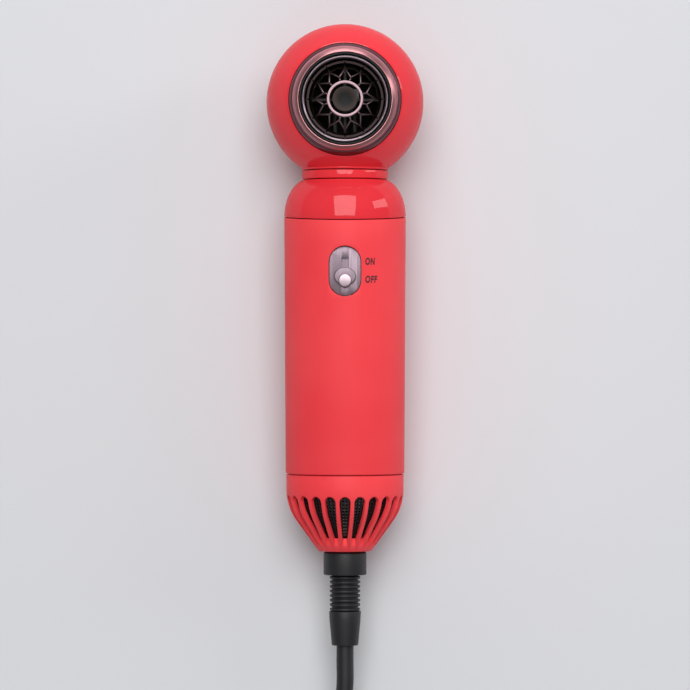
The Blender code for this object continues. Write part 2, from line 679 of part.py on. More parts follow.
def tail(upright, red):
    """The slotted intake cap with its spigot into the handle."""
    hole = RELIEF_NECK_RADIUS + FIT
    outer = tail_outline(0, BOTTOM_SEAM, 0)
    inner = tail_outline(TAIL_WALL, BOTTOM_SEAM - SPIGOT_WALL, TAIL_WALL)
    spigot = HANDLE_BORE - FIT
    spigot_top = BOTTOM_SEAM + SPIGOT_REACH
    spigot_bore = spigot - SPIGOT_WALL
    outline = [(spigot, BOTTOM_SEAM)] + outer + [(hole, 0), (hole, TAIL_WALL)] + inner[::-1]
    outline += [(spigot_bore, BOTTOM_SEAM), (spigot_bore, spigot_top), (spigot, spigot_top)]
    cap = turned("intake_cap", outline, red, upright, SLOT_COUNT, pi / SLOT_COUNT)
    cut(cap, slot_cutter(upright))


def intake_filter(upright, black):
    """The fine mesh liner behind the slots."""
    low = TAIL_WALL + FIT
    high = TAIL_ARC_Z + FILTER_ABOVE
    outer = tail_outline(TAIL_WALL + FIT, high, low)
    inner = tail_outline(TAIL_WALL + FIT + FILTER_THICKNESS, high, low)
    turned("intake_filter", outer + inner[::-1], black, upright, SLOT_COUNT, pi / SLOT_COUNT)


# ---- Outlet ------------------------------------------------------------------------------------
def nozzle(outlet, upright, bronze, black, bright):
    """The plated collar, the black rim with its barrel, and the bright bezel in it."""
    base = sqrt(BALL_RADIUS ** 2 - COLLAR_BASE_RADIUS ** 2)
    flange = COLLAR_BASE_RADIUS + COLLAR_FLANGE
    flange_high = sqrt((BALL_INNER - BALL_FIT) ** 2 - flange ** 2)
    flange_low = flange_high - COLLAR_FLANGE_HEIGHT
    land = COLLAR_BORE + COLLAR_LAND
    fall = (COLLAR_FRONT - base) / (COLLAR_BASE_RADIUS - land)
    groove_high = COLLAR_FRONT - (GROOVE_RADIUS - land) * fall
    groove_low = groove_high - GROOVE_WIDTH
    bore = COLLAR_BASE_RADIUS - COLLAR_WALL
    neck_high = groove_low - COLLAR_WALL
    outline = [(bore, flange_low), (flange, flange_low), (flange, flange_high),
               (COLLAR_BASE_RADIUS, flange_high), (COLLAR_BASE_RADIUS, base),
               (GROOVE_RADIUS + GROOVE_WIDTH, groove_low), (GROOVE_RADIUS - GROOVE_WIDTH, groove_low),
               (GROOVE_RADIUS - GROOVE_WIDTH, groove_high), (GROOVE_RADIUS, groove_high),
               (land, COLLAR_FRONT - FIT), (COLLAR_BORE, COLLAR_FRONT - FIT), (COLLAR_BORE, neck_high),
               (bore, neck_high)]
    collar = turned("nozzle_collar", outline, bronze, outlet)
    cut(collar, neck_space("collar_cutter", NECK_TOP + FIT, upright))
    lip_bore = RIM_RADIUS - RIM_LIP
    seat = COLLAR_FRONT - BEZEL_HEIGHT - SEAM - FIT
    outline = [(BARREL_BORE, BARREL_BACK), (RIM_RADIUS, BARREL_BACK), (RIM_RADIUS, COLLAR_FRONT),
               (lip_bore, COLLAR_FRONT), (lip_bore, seat), (BARREL_BORE, seat)]
    turned("nozzle_rim", outline, black, outlet)
    outer = lip_bore - FIT
    top = COLLAR_FRONT - SEAM
    low = top - BEZEL_HEIGHT
    outline = [(BARREL_BORE, low), (outer, low), (outer, top), (outer - BEZEL_WALL, top),
               (outer - BEZEL_MIDDLE_WALL, (top + low) / 2)]
    turned("bezel_ring", outline, bright, outlet)


def offset_point(radius, angle, side):
    """A point at a radius along a spoke's direction, moved sideways off the spoke."""
    return radius * cos(angle) - side * sin(angle), radius * sin(angle) + side * cos(angle)


def petal_openings():
    """Outlines of the air openings inside the petals and outside them."""
    half_rib = GRILLE_RIB / 2
    pitch = 2 * pi / PETAL_COUNT
    eye = GRILLE_EYE_RADIUS + GRILLE_EYE_RING
    outer = GRILLE_RADIUS - GRILLE_RING_WIDTH
    slant = 2 * GRILLE_RIB
    outlines = []
    for index in range(PETAL_COUNT):
        tip = index * pitch
        left = tip - pitch / 2
        right = tip + pitch / 2
        inside = [offset_point(eye, left, half_rib), (eye * cos(tip), eye * sin(tip)),
                  offset_point(eye, right, -half_rib), offset_point(PETAL_FORK, right, -half_rib),
                  offset_point(PETAL_TIP - slant, tip, 0), offset_point(PETAL_FORK, left, half_rib)]
        outlines.append(inside)
        outside = [offset_point(PETAL_FORK + slant / 2, left, 0), offset_point(PETAL_TIP, tip, -half_rib),
                   offset_point(outer, tip, -half_rib), (outer * cos(left), outer * sin(left)),
                   offset_point(outer, tip - pitch, half_rib),
                   offset_point(PETAL_TIP, tip - pitch, half_rib)]
        outlines.append(outside[::-1])
    return outlines


def grille(outlet, bronze, dark):
    """The dished flower grille and the hub in its eye."""
    low = GRILLE_BACK
    high = low + GRILLE_THICKNESS
    rim = GRILLE_RADIUS - GRILLE_RING_WIDTH
    eye = GRILLE_EYE_RADIUS + GRILLE_EYE_RING
    outline = [(GRILLE_EYE_RADIUS, low + GRILLE_DISH), (eye, low + GRILLE_DISH), (rim, low),
               (GRILLE_RADIUS, low), (GRILLE_RADIUS, high), (rim, high), (eye, high + GRILLE_DISH),
               (GRILLE_EYE_RADIUS, high + GRILLE_DISH)]
    plate = turned("outlet_grille", outline, bronze, outlet, 2 * PETAL_COUNT)
    cutter = prisms("petal_cutter", petal_openings(), low - GRILLE_THICKNESS,
                    high + GRILLE_DISH + GRILLE_THICKNESS, None, outlet)
    cut(plate, cutter)
    face = high + GRILLE_DISH - SEAM
    outline = [(0, MICA_FRONT + FIT), (HUB_STEM_RADIUS, MICA_FRONT + FIT),
               (HUB_STEM_RADIUS, face - HUB_THICKNESS), (HUB_RADIUS, face - HUB_THICKNESS),
               (HUB_RADIUS, face), (HUB_RADIUS - 2 * HUB_DISH, face), (0, face - HUB_DISH)]
    turned("grille_hub", outline, dark, outlet, PETAL_COUNT * 2)


# ---- Heater ------------------------------------------------------------------------------------
def heater(outlet, mica, steel, black, nickel):
    """The mica tube, crossed mica sheets, heating coil, holder, screws and the two cut-outs."""
    ring("heater_sleeve", SLEEVE_RADIUS - SLEEVE_WALL, SLEEVE_RADIUS, SLEEVE_BACK, SLEEVE_FRONT, mica,
         outlet)
    half = MICA_THICKNESS / 2
    mica_low = SLEEVE_BACK
    sheet = block("mica_frame", (-MICA_RADIUS, MICA_RADIUS), (-half, half), (mica_low, MICA_FRONT), mica,
                  outlet)
    weld(sheet, block("mica_cross", (-half, half), (-MICA_RADIUS, MICA_RADIUS), (mica_low, MICA_FRONT),
                      None, outlet))
    middle = (mica_low + MICA_FRONT) / 2
    route = []
    for index in range(COIL_TURNS * COIL_STEPS + 1):
        angle = 2 * pi * index / COIL_STEPS
        height = middle + COIL_PITCH * (index / COIL_STEPS - COIL_TURNS / 2)
        route.append((COIL_RADIUS * cos(angle), COIL_RADIUS * sin(angle), height))
    wire("heating_coil", route, COIL_WIRE, nickel, outlet, 0)
    width, depth, length = THERMOSTAT_SIZE
    corner = half + FIT
    block("thermostat", (corner, corner + width), (corner, corner + depth), (middle - length / 2,
          middle + length / 2), steel, outlet)
    fuse = turned("thermal_fuse", rod_outline(FUSE_RADIUS, -FUSE_LENGTH / 2, FUSE_LENGTH / 2), steel, outlet,
                  SMALL_STEPS)
    fuse.location = (-corner - FUSE_RADIUS, corner + FUSE_RADIUS, middle)
    heater_holder(outlet, black, steel)


def heater_holder(outlet, black, steel):
    """The holder at the heater's rear: a ring, a cross behind it, and ears for the screws."""
    bore = SLEEVE_RADIUS + FIT
    low = HOLDER_BACK
    holder = ring("heater_holder", bore, HOLDER_RADIUS, low, low + HOLDER_DEPTH, black, outlet)
    arm = HOLDER_WALL
    cross = prisms("holder_cross", [rectangle(-HOLDER_RADIUS + arm / 2, HOLDER_RADIUS - arm / 2, -arm, arm)],
                   low, low + HOLDER_WALL, None, outlet)
    weld(holder, cross)
    ear_high = low + HOLDER_WALL
    head = ear_high + FIT
    tip = low - SCREW_REACH
    screw = [(0, tip), (SCREW_SHANK_RADIUS, tip), (SCREW_SHANK_RADIUS, head), (SCREW_HEAD_RADIUS, head),
             (SCREW_HEAD_RADIUS, head + SCREW_HEAD_HEIGHT), (0, head + SCREW_HEAD_HEIGHT)]
    ears = []
    for index in range(POST_COUNT):
        x, y = post_place(index)
        angle = atan2(y, x)
        near = (bore + HOLDER_RADIUS) / 2 * cos(asin(POST_RADIUS / bore))
        ears.append([offset_point(near, angle, -POST_RADIUS),
                     *arc(x, y, POST_RADIUS, angle - pi / 2, angle + pi / 2, 4),
                     offset_point(near, angle, POST_RADIUS)])
        fastener = turned(f"heater_screw_{index + 1}", screw, steel, outlet, SMALL_STEPS)
        fastener.location = (x, y, 0)
    weld(holder, prisms("ears", ears, low, ear_high, None, outlet))
    cut(holder, prisms("ear_holes", on_posts(SCREW_SHANK_RADIUS + FIT), low - arm, ear_high + arm, None,
                       outlet))


# ---- Switch ------------------------------------------------------------------------------------
def facing_front(name, outlines, near, far, surface, parent):
    """Prisms whose outlines stand in the XZ plane, from near to far in front of the axis."""
    item = prisms(name, outlines, near, far, surface, parent)
    item.rotation_euler = (pi / 2, 0, 0)
    return item


def switch(upright, metal, bright, black):
    """The recessed plate, the slide button, its lever and the switch body behind."""
    off = empty("slide_axis", upright, (0, 0, SWITCH_Z - SWITCH_TRAVEL / 2))
    lever_front = SWITCH_BODY_FRONT
    lever_back = lever_front - LEVER_SIZE[1]
    stem_end = lever_back + LEVER_FLOOR
    switch_top(upright, off, stem_end, metal, bright)
    slot_shutter(off, metal)
    switch_works(upright, off, (lever_back, lever_front, stem_end), black)


def slot_shutter(off, metal):
    """A strip on the slider's stem that covers the plate's slot from behind in every position."""
    bore_beside = sqrt(HANDLE_BORE ** 2 - SHUTTER_WIDTH ** 2) + HANDLE_BORE
    front = bore_beside / 2 - FIT
    half_length = SWITCH_TRAVEL + STEM_SIZE / 2 + 3 * FIT
    half_width = SHUTTER_WIDTH / 2
    socket = STEM_SIZE / 2 + FIT
    strip = facing_front("slot_shutter", [rectangle(-half_width, half_width, -half_length, half_length)],
                         front - SHUTTER_THICKNESS, front, metal, off)
    cut(strip, facing_front("shutter_socket", [rectangle(-socket, socket, -socket, socket)],
                            front - 2 * SHUTTER_THICKNESS, front + SHUTTER_THICKNESS, None, off))


def switch_top(upright, off, stem_end, metal, bright):
    """The plate with its slot, and the slider with its button and stem."""
    stem_half = STEM_SIZE / 2
    slot_half = SWITCH_TRAVEL / 2 + stem_half + FIT
    plate = facing_front("switch_plate", [stadium(SWITCH_WIDTH, SWITCH_HEIGHT, SWITCH_Z)], PLATE_BACK,
                         PLATE_FRONT, metal, upright)
    slot = rectangle(-stem_half - FIT, stem_half + FIT, SWITCH_Z - slot_half, SWITCH_Z + slot_half)
    cut(plate, facing_front("stem_slot", [slot], PLATE_BACK - SWITCH_PLATE, PLATE_FRONT + SWITCH_PLATE,
                            None, upright))
    face = PLATE_FRONT + FIT
    wing = ellipse_arc(0, WING_RISE, WING_HALF_WIDTH, WING_HALF_HEIGHT, 0, 2 * pi, SMALL_STEPS)[:-1]
    slider = facing_front("switch_slider", [wing], face, face + WING_THICKNESS, bright, off)
    button = arc(0, 0, BUTTON_RADIUS, 0, 2 * pi, SMALL_STEPS)[:-1]
    weld(slider, facing_front("slider_button", [button], face + WING_THICKNESS / 2, face + BUTTON_HEIGHT,
                              None, off))
    stem = rectangle(-stem_half, stem_half, -stem_half, stem_half)
    weld(slider, facing_front("slider_stem", [stem], stem_end, face + WING_THICKNESS / 2, None, off))


def switch_works(upright, off, depths, black):
    """The lever on the slider's stem, and the switch body with the lever's track."""
    lever_back, lever_front, stem_end = depths
    half = LEVER_SIZE[0] / 2
    lever = facing_front("switch_lever", [rectangle(-half, half, -half, half)], lever_back, lever_front,
                         black, off)
    socket = STEM_SIZE / 2 + FIT
    cut(lever, facing_front("lever_socket", [rectangle(-socket, socket, -socket, socket)], stem_end - FIT,
                            lever_front + FIT, None, off))
    width, depth, height = SWITCH_BODY_SIZE
    body = facing_front("switch_body", [rectangle(-width / 2, width / 2, SWITCH_Z - height / 2,
                                                  SWITCH_Z + height / 2)],
                        SWITCH_BODY_BACK, SWITCH_BODY_FRONT, black, upright)
    track_half = half + FIT
    reach = SWITCH_TRAVEL / 2 + half + FIT
    track = rectangle(-track_half, track_half, SWITCH_Z - reach, SWITCH_Z + reach)
    cut(body, facing_front("lever_track", [track], lever_back - FIT, SWITCH_BODY_FRONT + FIT, None, upright))


# ---- Fan and motor -----------------------------------------------------------------------------
def fan_housing(upright, black, rubber):
    """The duct with guide vanes that hold the motor's sleeve, and the rubber rings round it."""
    housing = ring("fan_housing", FAN_INNER_RADIUS, FAN_OUTER_RADIUS, FAN_LOW, FAN_HIGH, black, upright)
    hub_inner = FAN_HUB_RADIUS - FAN_HUB_WALL
    vanes = []
    for index in range(VANE_COUNT):
        angle = 2 * pi * (index + 0.5) / VANE_COUNT
        near = FAN_HUB_RADIUS - FAN_HUB_WALL / 2
        far = FAN_OUTER_RADIUS - FAN_WALL / 2
        half = VANE_THICKNESS / 2
        vanes.append([offset_point(near, angle, -half), offset_point(far, angle, -half),
                      offset_point(far, angle, half), offset_point(near, angle, half)])
    weld(housing, prisms("vanes", vanes, HUB_LOW + VANE_THICKNESS, FAN_HIGH - 3 * VANE_THICKNESS, None,
                         upright))
    hub = [(hub_inner, HUB_LOW), (FAN_HUB_RADIUS, HUB_LOW), (FAN_HUB_RADIUS, FAN_HIGH - VANE_THICKNESS),
           (hub_inner, FAN_HIGH - VANE_THICKNESS)]
    weld(housing, turned("hub", hub, None, upright))
    open_low = pi / 2 - CHANNEL_HALF_ANGLE
    open_high = pi / 2 + CHANNEL_HALF_ANGLE
    outline = arc(0, 0, HANDLE_BORE - FIT, open_high, open_low + 2 * pi, STEPS)
    outline += arc(0, 0, FAN_OUTER_RADIUS + FIT, open_low + 2 * pi, open_high, STEPS)
    for name, low in (("fan_damper_lower", FAN_LOW + DAMPER_FROM_END),
                      ("fan_damper_upper", FAN_HIGH - DAMPER_FROM_END - DAMPER_HEIGHT)):
        prisms(name, [outline], low, low + DAMPER_HEIGHT, rubber, upright)


def motor(upright, steel, copper, black):
    """The motor's can, windings, end cap and the two bearings."""
    wall = MOTOR_CAN_WALL
    inner = MOTOR_RADIUS - wall
    seat = SHAFT_RADIUS + FIT + BEARING_WALL + FIT
    outline = [(seat, MOTOR_LOW), (MOTOR_RADIUS, MOTOR_LOW), (MOTOR_RADIUS, MOTOR_HIGH), (inner, MOTOR_HIGH),
               (inner, MOTOR_LOW + wall), (seat, MOTOR_LOW + wall)]
    turned("motor_can", outline, steel, upright, SMALL_STEPS * 2)
    middle = (MOTOR_LOW + MOTOR_HIGH) / 2
    half = STATOR_LENGTH / 2
    ring("motor_stator", inner - FIT - STATOR_WALL, inner - FIT, middle - half, middle + half, copper,
         upright, SMALL_STEPS * 2)
    ring("motor_end_cap", seat, inner - FIT, MOTOR_HIGH - END_CAP_THICKNESS, MOTOR_HIGH, black, upright,
         SMALL_STEPS * 2)
    bearing = SHAFT_RADIUS + FIT
    for name, centre in (("motor_bearing_lower", MOTOR_LOW + wall / 2),
                         ("motor_bearing_upper", MOTOR_HIGH - END_CAP_THICKNESS / 2)):
        ring(name, bearing, bearing + BEARING_WALL, centre - BEARING_HEIGHT / 2, centre + BEARING_HEIGHT / 2,
             steel, upright, SMALL_STEPS)


def rotor(fan_axis, steel, black, magnet):
    """What turns: shaft, magnet and impeller, all about the fan's axis."""
    top = MOTOR_HIGH + BEARING_HEIGHT / 2 - FAN_LOW
    low = top - SHAFT_LENGTH
    turned("motor_shaft", rod_outline(SHAFT_RADIUS, low, top), steel, fan_axis, SMALL_STEPS)
    middle = (MOTOR_LOW + MOTOR_HIGH) / 2 - FAN_LOW
    outer = MOTOR_RADIUS - MOTOR_CAN_WALL - FIT - STATOR_WALL - RUNNING_GAP
    half = STATOR_LENGTH / 2
    ring("motor_magnet", SHAFT_RADIUS + FIT, outer, middle - half, middle + half, magnet, fan_axis,
         SMALL_STEPS)
    hub_high = MOTOR_LOW - FAN_LOW - BEARING_HEIGHT / 2 - RUNNING_GAP
    hub_low = hub_high - IMPELLER_HUB_HEIGHT
    bore = SHAFT_RADIUS + FIT
    nose = IMPELLER_HUB_HEIGHT / 2
    dome = ellipse_arc(bore, hub_low + nose, IMPELLER_HUB_RADIUS - bore, nose, -pi / 2, 0, 5)
    outline = dome + [(IMPELLER_HUB_RADIUS, hub_high), (bore, hub_high)]
    wheel = turned("impeller", outline, black, fan_axis, SMALL_STEPS * 2)
    weld(wheel, blades(hub_low, hub_high, fan_axis))


def blades(hub_low, hub_high, parent):
    """Twisted impeller blades, each a little into the hub."""
    bm = bmesh.new()
    middle = (hub_low + hub_high) / 2 + IMPELLER_HUB_HEIGHT / 10
    half_thickness = BLADE_THICKNESS / 2
    root = IMPELLER_HUB_RADIUS - 3 * half_thickness
    tip = FAN_INNER_RADIUS - RUNNING_GAP
    for index in range(BLADE_COUNT):
        start = 2 * pi * index / BLADE_COUNT
        sections = []
        for share in (0.0, 0.5, 1.0):
            radius = root + share * (tip - root)
            lean = BLADE_ROOT_ANGLE + share * (BLADE_TIP_ANGLE - BLADE_ROOT_ANGLE)
            sweep = BLADE_HEIGHT / 2 * tan(lean) * (1 - share / 2)
            rise = BLADE_HEIGHT / 2 * (1 - share / 4)
            section = []
            for side, level in ((-1, -1), (1, -1), (1, 1), (-1, 1)):
                turn = start + (level * sweep + side * half_thickness) / radius
                section.append(bm.verts.new((radius * cos(turn), radius * sin(turn), middle + level * rise)))
            sections.append(section)
        for near, far in zip(sections, sections[1:]):
            for corner in range(4):
                after = (corner + 1) % 4
                quad = (near[corner], near[after], far[after], far[corner])
                bm.faces.new(quad)
        bm.faces.new(sections[0])
        bm.faces.new(sections[-1])
    return finished("blades", bm, None, parent)


# ---- Electronics -------------------------------------------------------------------------------
def electronics(upright, black, green, silver, dark):
    """The frame that stands on the fan, the board in its slots, and what the board carries."""
    outer = HANDLE_BORE - FIT
    bore = outer - FRAME_RING_WALL
    half_board = BOARD_WIDTH / 2
    gap = CHANNEL_HALF_ANGLE
    circle = arc(0, 0, outer, pi / 2 + gap, 5 * pi / 2 - gap, STEPS)
    circle += arc(0, 0, bore, 5 * pi / 2 - gap, pi / 2 + gap, STEPS)
    frame = prisms("board_frame", [circle], FRAME_LOW, FRAME_HIGH, black, upright)
    post_inner = half_board - SLOT_DEPTH
    post_outer = half_board + FIT + SLOT_DEPTH
    middle = -(BOARD_FRONT + BOARD_BACK) / 2
    posts = [rectangle(post_inner, post_outer, middle - POST_WIDTH / 2, middle + POST_WIDTH / 2)]
    posts.append([(-x, y) for x, y in posts[0]][::-1])
    weld(frame, prisms("posts", posts, FRAME_HIGH - FRAME_RING_HEIGHT / 2, BOARD_HIGH, None, upright))
    cut(frame, block("board_slot", (-half_board - FIT, half_board + FIT), (-BOARD_FRONT - FIT,
                     -BOARD_BACK + FIT), (BOARD_LOW - FIT, BOARD_HIGH + FIT), None, upright))
    block("circuit_board", (-half_board, half_board), (-BOARD_FRONT, -BOARD_BACK), (BOARD_LOW, BOARD_HIGH),
          green, upright)
    board_parts(upright, silver, dark)


def board_parts(upright, silver, dark):
    """Capacitor, choke and heat sink on the board's back, beside the lane of the leads."""
    back = -BOARD_BACK + FIT
    lane = LEAD_SPREAD + LEAD_RADIUS + 2 * FIT
    can = turned("capacitor", rod_outline(CAPACITOR_RADIUS, 0, CAPACITOR_LENGTH), dark, upright, SMALL_STEPS)
    can.location = (-lane - CAPACITOR_RADIUS, back + CAPACITOR_RADIUS, BOARD_LOW + LEAD_SPREAD)
    spool = turned("choke", rod_outline(CHOKE_RADIUS, 0, CHOKE_HEIGHT), dark, upright, SMALL_STEPS)
    spool.location = (lane + CHOKE_RADIUS, back, BOARD_LOW + CHOKE_RADIUS + LEAD_SPREAD)
    spool.rotation_euler = (-pi / 2, 0, 0)
    width, depth, height = HEAT_SINK_SIZE
    sink_low = BOARD_LOW + 2 * CHOKE_RADIUS + 2 * LEAD_SPREAD
    middle_x = lane + width / 2
    fin = width / 9
    comb = rectangle(middle_x - width / 2, middle_x + width / 2, back, back + depth)
    sink = prisms("heat_sink", [comb], sink_low, sink_low + height, silver, upright)
    gaps = [rectangle(middle_x + fin * (step - 0.5), middle_x + fin * (step + 0.5), back + depth / 4,
                      back + depth + fin) for step in (-3, -1, 1, 3)]
    cut(sink, prisms("fin_gaps", gaps, sink_low - fin, sink_low + height + fin, None, upright))


def leads(upright, black, red_wire, white_wire):
    """Insulated wires inside the dryer: mains, motor and heater."""
    channel = (FAN_OUTER_RADIUS + HANDLE_BORE) / 2
    end_gap = FIT + LEAD_RADIUS
    back = -BOARD_BACK + end_gap
    relief_top = TAIL_WALL + FIT + RELIEF_FLANGE_HEIGHT + FIT
    spigot_bore = HANDLE_BORE - FIT - SPIGOT_WALL - 2 * LEAD_RADIUS
    for name, side in (("mains_lead_live", -1), ("mains_lead_neutral", 1)):
        x = side * LEAD_SPREAD
        route = smooth_route([
            (x, 0, relief_top), (x, 0.2 * channel, relief_top + 3 * LEAD_BEND),
            (x, 0.8 * spigot_bore, TAIL_LENGTH), (x, spigot_bore, BOTTOM_SEAM + SPIGOT_REACH),
            (x, channel, FAN_LOW), (x, channel, FAN_LOW + DAMPER_FROM_END),
            (x, channel, FAN_HIGH),
            (x, channel, FRAME_HIGH), (x, 0.7 * channel, BOARD_LOW + 2.5 * LEAD_BEND),
            (x, 0, BOARD_LOW + 6 * LEAD_BEND),
            (x, back, BOARD_LOW + 8 * LEAD_BEND)], LEAD_SPACING)
        wire(name, route, LEAD_RADIUS, black, upright, 1)
    start = MOTOR_HIGH + FIT
    top = BOARD_LOW + 1.5 * LEAD_BEND
    back = -BOARD_BACK + FIT + MOTOR_LEAD_RADIUS
    route = smooth_route([(0, 0.5 * MOTOR_RADIUS, start), (0, 0.5 * MOTOR_RADIUS, start + 1.5 * LEAD_BEND),
                          (0, -0.3 * MOTOR_RADIUS, top), (0, back, top + LEAD_BEND)], LEAD_SPACING / 2)
    wire("motor_lead", route, MOTOR_LEAD_RADIUS, red_wire, upright, 1)
    rear = -HOLDER_BACK + end_gap
    for name, side in (("heater_lead_live", -1), ("heater_lead_return", 1)):
        x = side * 2 * LEAD_SPREAD
        route = smooth_route([
            (x, back, BOARD_HIGH - 3 * LEAD_BEND),
            (x, back + 2 * LEAD_BEND, BOARD_HIGH - LEAD_BEND / 2),
            (x, 0, SEAM_MIDDLE), (x, NECK_BORE / 3, SHOULDER_TOP),
            (x, NECK_BORE / 2, BALL_LOW + 2 * NECK_WALL),
            (x, rear + LEAD_BEND, BALL_Z - BALL_RADIUS / 2),
            (x, rear + 1.5 * LEAD_BEND, BALL_Z - 2 * POST_RADIUS), (x, rear, BALL_Z)], LEAD_SPACING)
        wire(name, route, LEAD_RADIUS, white_wire, upright, 1)


# ---- Mains lead --------------------------------------------------------------------------------
def strain_relief(upright, black):
    """The ribbed sleeve at the tail; its neck passes the floor and a flange holds it inside."""
    low = -FIT - RELIEF_COLLAR_HEIGHT
    inside = TAIL_WALL + FIT
    lining = tail_outline(inside + FILTER_THICKNESS, inside, inside)[-1][0] * cos(pi / SLOT_COUNT)
    flange = lining - FIT
    outline = [(0, inside + RELIEF_FLANGE_HEIGHT), (flange, inside + RELIEF_FLANGE_HEIGHT), (flange, inside),
               (RELIEF_NECK_RADIUS, inside), (RELIEF_NECK_RADIUS, -FIT),
               (RELIEF_COLLAR_RADIUS, -FIT), (RELIEF_COLLAR_RADIUS, low)]
    for index in range(RELIEF_RIB_COUNT):
        start = low - index * RELIEF_RIB_PITCH
        outline.append((RELIEF_GROOVE_RADIUS, start - RELIEF_GROOVE_AT * RELIEF_RIB_PITCH))
        outline.append((RELIEF_RIB_RADIUS, start - RELIEF_RIB_AT * RELIEF_RIB_PITCH))
    ribs_end = low - RELIEF_RIB_COUNT * RELIEF_RIB_PITCH
    end = ribs_end - RELIEF_SLEEVE_LENGTH
    sleeve_start = ribs_end - RELIEF_GROOVE_AT * RELIEF_RIB_PITCH
    outline += [(RELIEF_GROOVE_RADIUS, ribs_end), (RELIEF_SLEEVE_RADIUS, sleeve_start),
                (RELIEF_END_RADIUS, end), (0, end)]
    turned("strain_relief", outline, black, upright, SMALL_STEPS + 4)
    return empty("cord_exit", upright, (0, 0, end))


def hank_high():
    """Top of the hank's upper layer."""
    return HANK_LIFT + 2 * CORD_RADIUS + (HANK_LAYERS - 1) * CORD_PITCH


def hank_meeting(start, toward):
    """Where the lead, on its way from start, meets the near fold's outside."""
    centre = Vector((HANK_CENTRE[0], HANK_CENTRE[1] + HANK_RUN / 2))
    reach = HANK_OUTER_FOLD + 2 * CORD_RADIUS + FIT
    heading = toward - start
    step = heading / heading.xy.length
    offset = start.xy - centre
    along = step.xy.dot(offset)
    return start - step * (along + sqrt(along ** 2 - offset.length_squared + reach ** 2))


def cord_route(exit_point, direction):
    """The lead from its strain relief down towards the table and up to the hank."""
    start = exit_point + direction * FIT
    end = hank_meeting(Vector(CORD_ROUTE[-1]), Vector(CORD_HEADING))
    return [start, start + direction * CORD_STRAIGHT, *CORD_ROUTE, end]


def mains_lead(exit_point, direction, cord_black):
    """The lead's first stretch and its hank, lying on the table."""
    spacing = 5 * CORD_RADIUS
    wire("power_cord", smooth_route(cord_route(exit_point, direction), spacing), CORD_RADIUS, cord_black,
         None, 3)
    inner = HANK_INNER_FOLD - CORD_RADIUS
    outer = HANK_OUTER_FOLD + CORD_RADIUS
    hank = prisms("cord_coil", [stadium(2 * outer, 2 * outer + HANK_RUN, 0, HANK_STEPS)], HANK_LIFT,
                  hank_high(), cord_black, None)
    hole = prisms("hank_hole", [stadium(2 * inner, 2 * inner + HANK_RUN, 0, HANK_STEPS)], 0, 2 * hank_high(),
                  None, None)
    for item in (hank, hole):
        item.location = (*HANK_CENTRE, 0)
    cut(hank, hole)
    return inner, outer


def build():
    for item in list(bpy.data.objects):
        bpy.data.objects.remove(item, do_unlink=True)
    red, bronze, bright, brushed = (material(*row) for row in OUTSIDE_SURFACES)
    black, soft_black, mica, dark = (material(*row) for row in BLACK_SURFACES)
    steel, nickel, copper, magnet, aluminium, brass = (material(*row) for row in METAL_SURFACES)
    green, red_wire, white_wire, grey = (material(*row) for row in PLASTIC_SURFACES)

    upright = empty("dryer", None)
    outlet = empty("outlet_axis", upright, (0, 0, BALL_Z), (pi / 2, 0, 0))
    fan_axis = empty("fan_axis", upright, (0, 0, FAN_LOW))
    head_shells(upright, outlet, red)
    joining_band(outlet, upright, black)
    nozzle(outlet, upright, bronze, black, bright)
    grille(outlet, bronze, black)
    heater(outlet, mica, steel, black, nickel)
    neck(upright, red, black)
    shoulder(upright, red)
    shoulder_ring(upright, black)
    handle(upright, red)
    switch(upright, brushed, bright, black)
    tail(upright, red)
    intake_filter(upright, soft_black)
    fan_housing(upright, black, soft_black)
    motor(upright, steel, copper, black)
    rotor(fan_axis, steel, black, magnet)
    electronics(upright, black, green, aluminium, dark)
    leads(upright, black, red_wire, white_wire)
    cord_exit = strain_relief(upright, soft_black)
    lay_down(upright)
    place_lead(cord_exit, soft_black, brass, grey)


def lay_down(upright):
    """Turns the dryer on its back so that ball and tail rest on z = 0, centred in x and y."""
    edges = [(TAIL_RIM_RADIUS, TAIL_LENGTH - TAIL_RIM_HEIGHT), (HANDLE_BOTTOM_RADIUS, BOTTOM_SEAM + SEAM),
             (HANDLE_TOP_RADIUS, SEAM_MIDDLE)]
    tilt = min(asin((BALL_RADIUS - radius) / (BALL_Z - height)) for radius, height in edges)
    upright.rotation_euler = (tilt - pi / 2, 0, 0)
    low, high = world_box(visible_pieces())
    upright.location = (-(low.x + high.x) / 2, -(low.y + high.y) / 2, -low.z)
    bpy.context.view_layer.update()


def visible_pieces():
    return [item for item in bpy.data.objects if item.type in {"MESH", "CURVE"} and not item.hide_render]


def world_box(items):
    """Lowest and highest corners of the finished pieces in world space."""
    bpy.context.view_layer.update()
    graph = bpy.context.evaluated_depsgraph_get()
    points = []
    for item in items:
        shape = item.evaluated_get(graph)
        mesh = shape.to_mesh()
        points += [shape.matrix_world @ vertex.co for vertex in mesh.vertices]
        shape.to_mesh_clear()
    low = Vector([min(point[axis] for point in points) for axis in range(3)])
    high = Vector([max(point[axis] for point in points) for axis in range(3)])
    return low, high


def place_lead(cord_exit, cord_black, brass, grey):
    """The lead starts at the strain relief's end, wherever the dryer came to lie."""
    exit_point = cord_exit.matrix_world.translation.copy()
    direction = -(cord_exit.matrix_world.to_3x3() @ Vector((0, 0, 1)))
    inner, outer = mains_lead(exit_point, direction, cord_black)
    tie(inner, outer, grey)
    cord_to_plug(cord_black)
    plug(cord_black, brass)


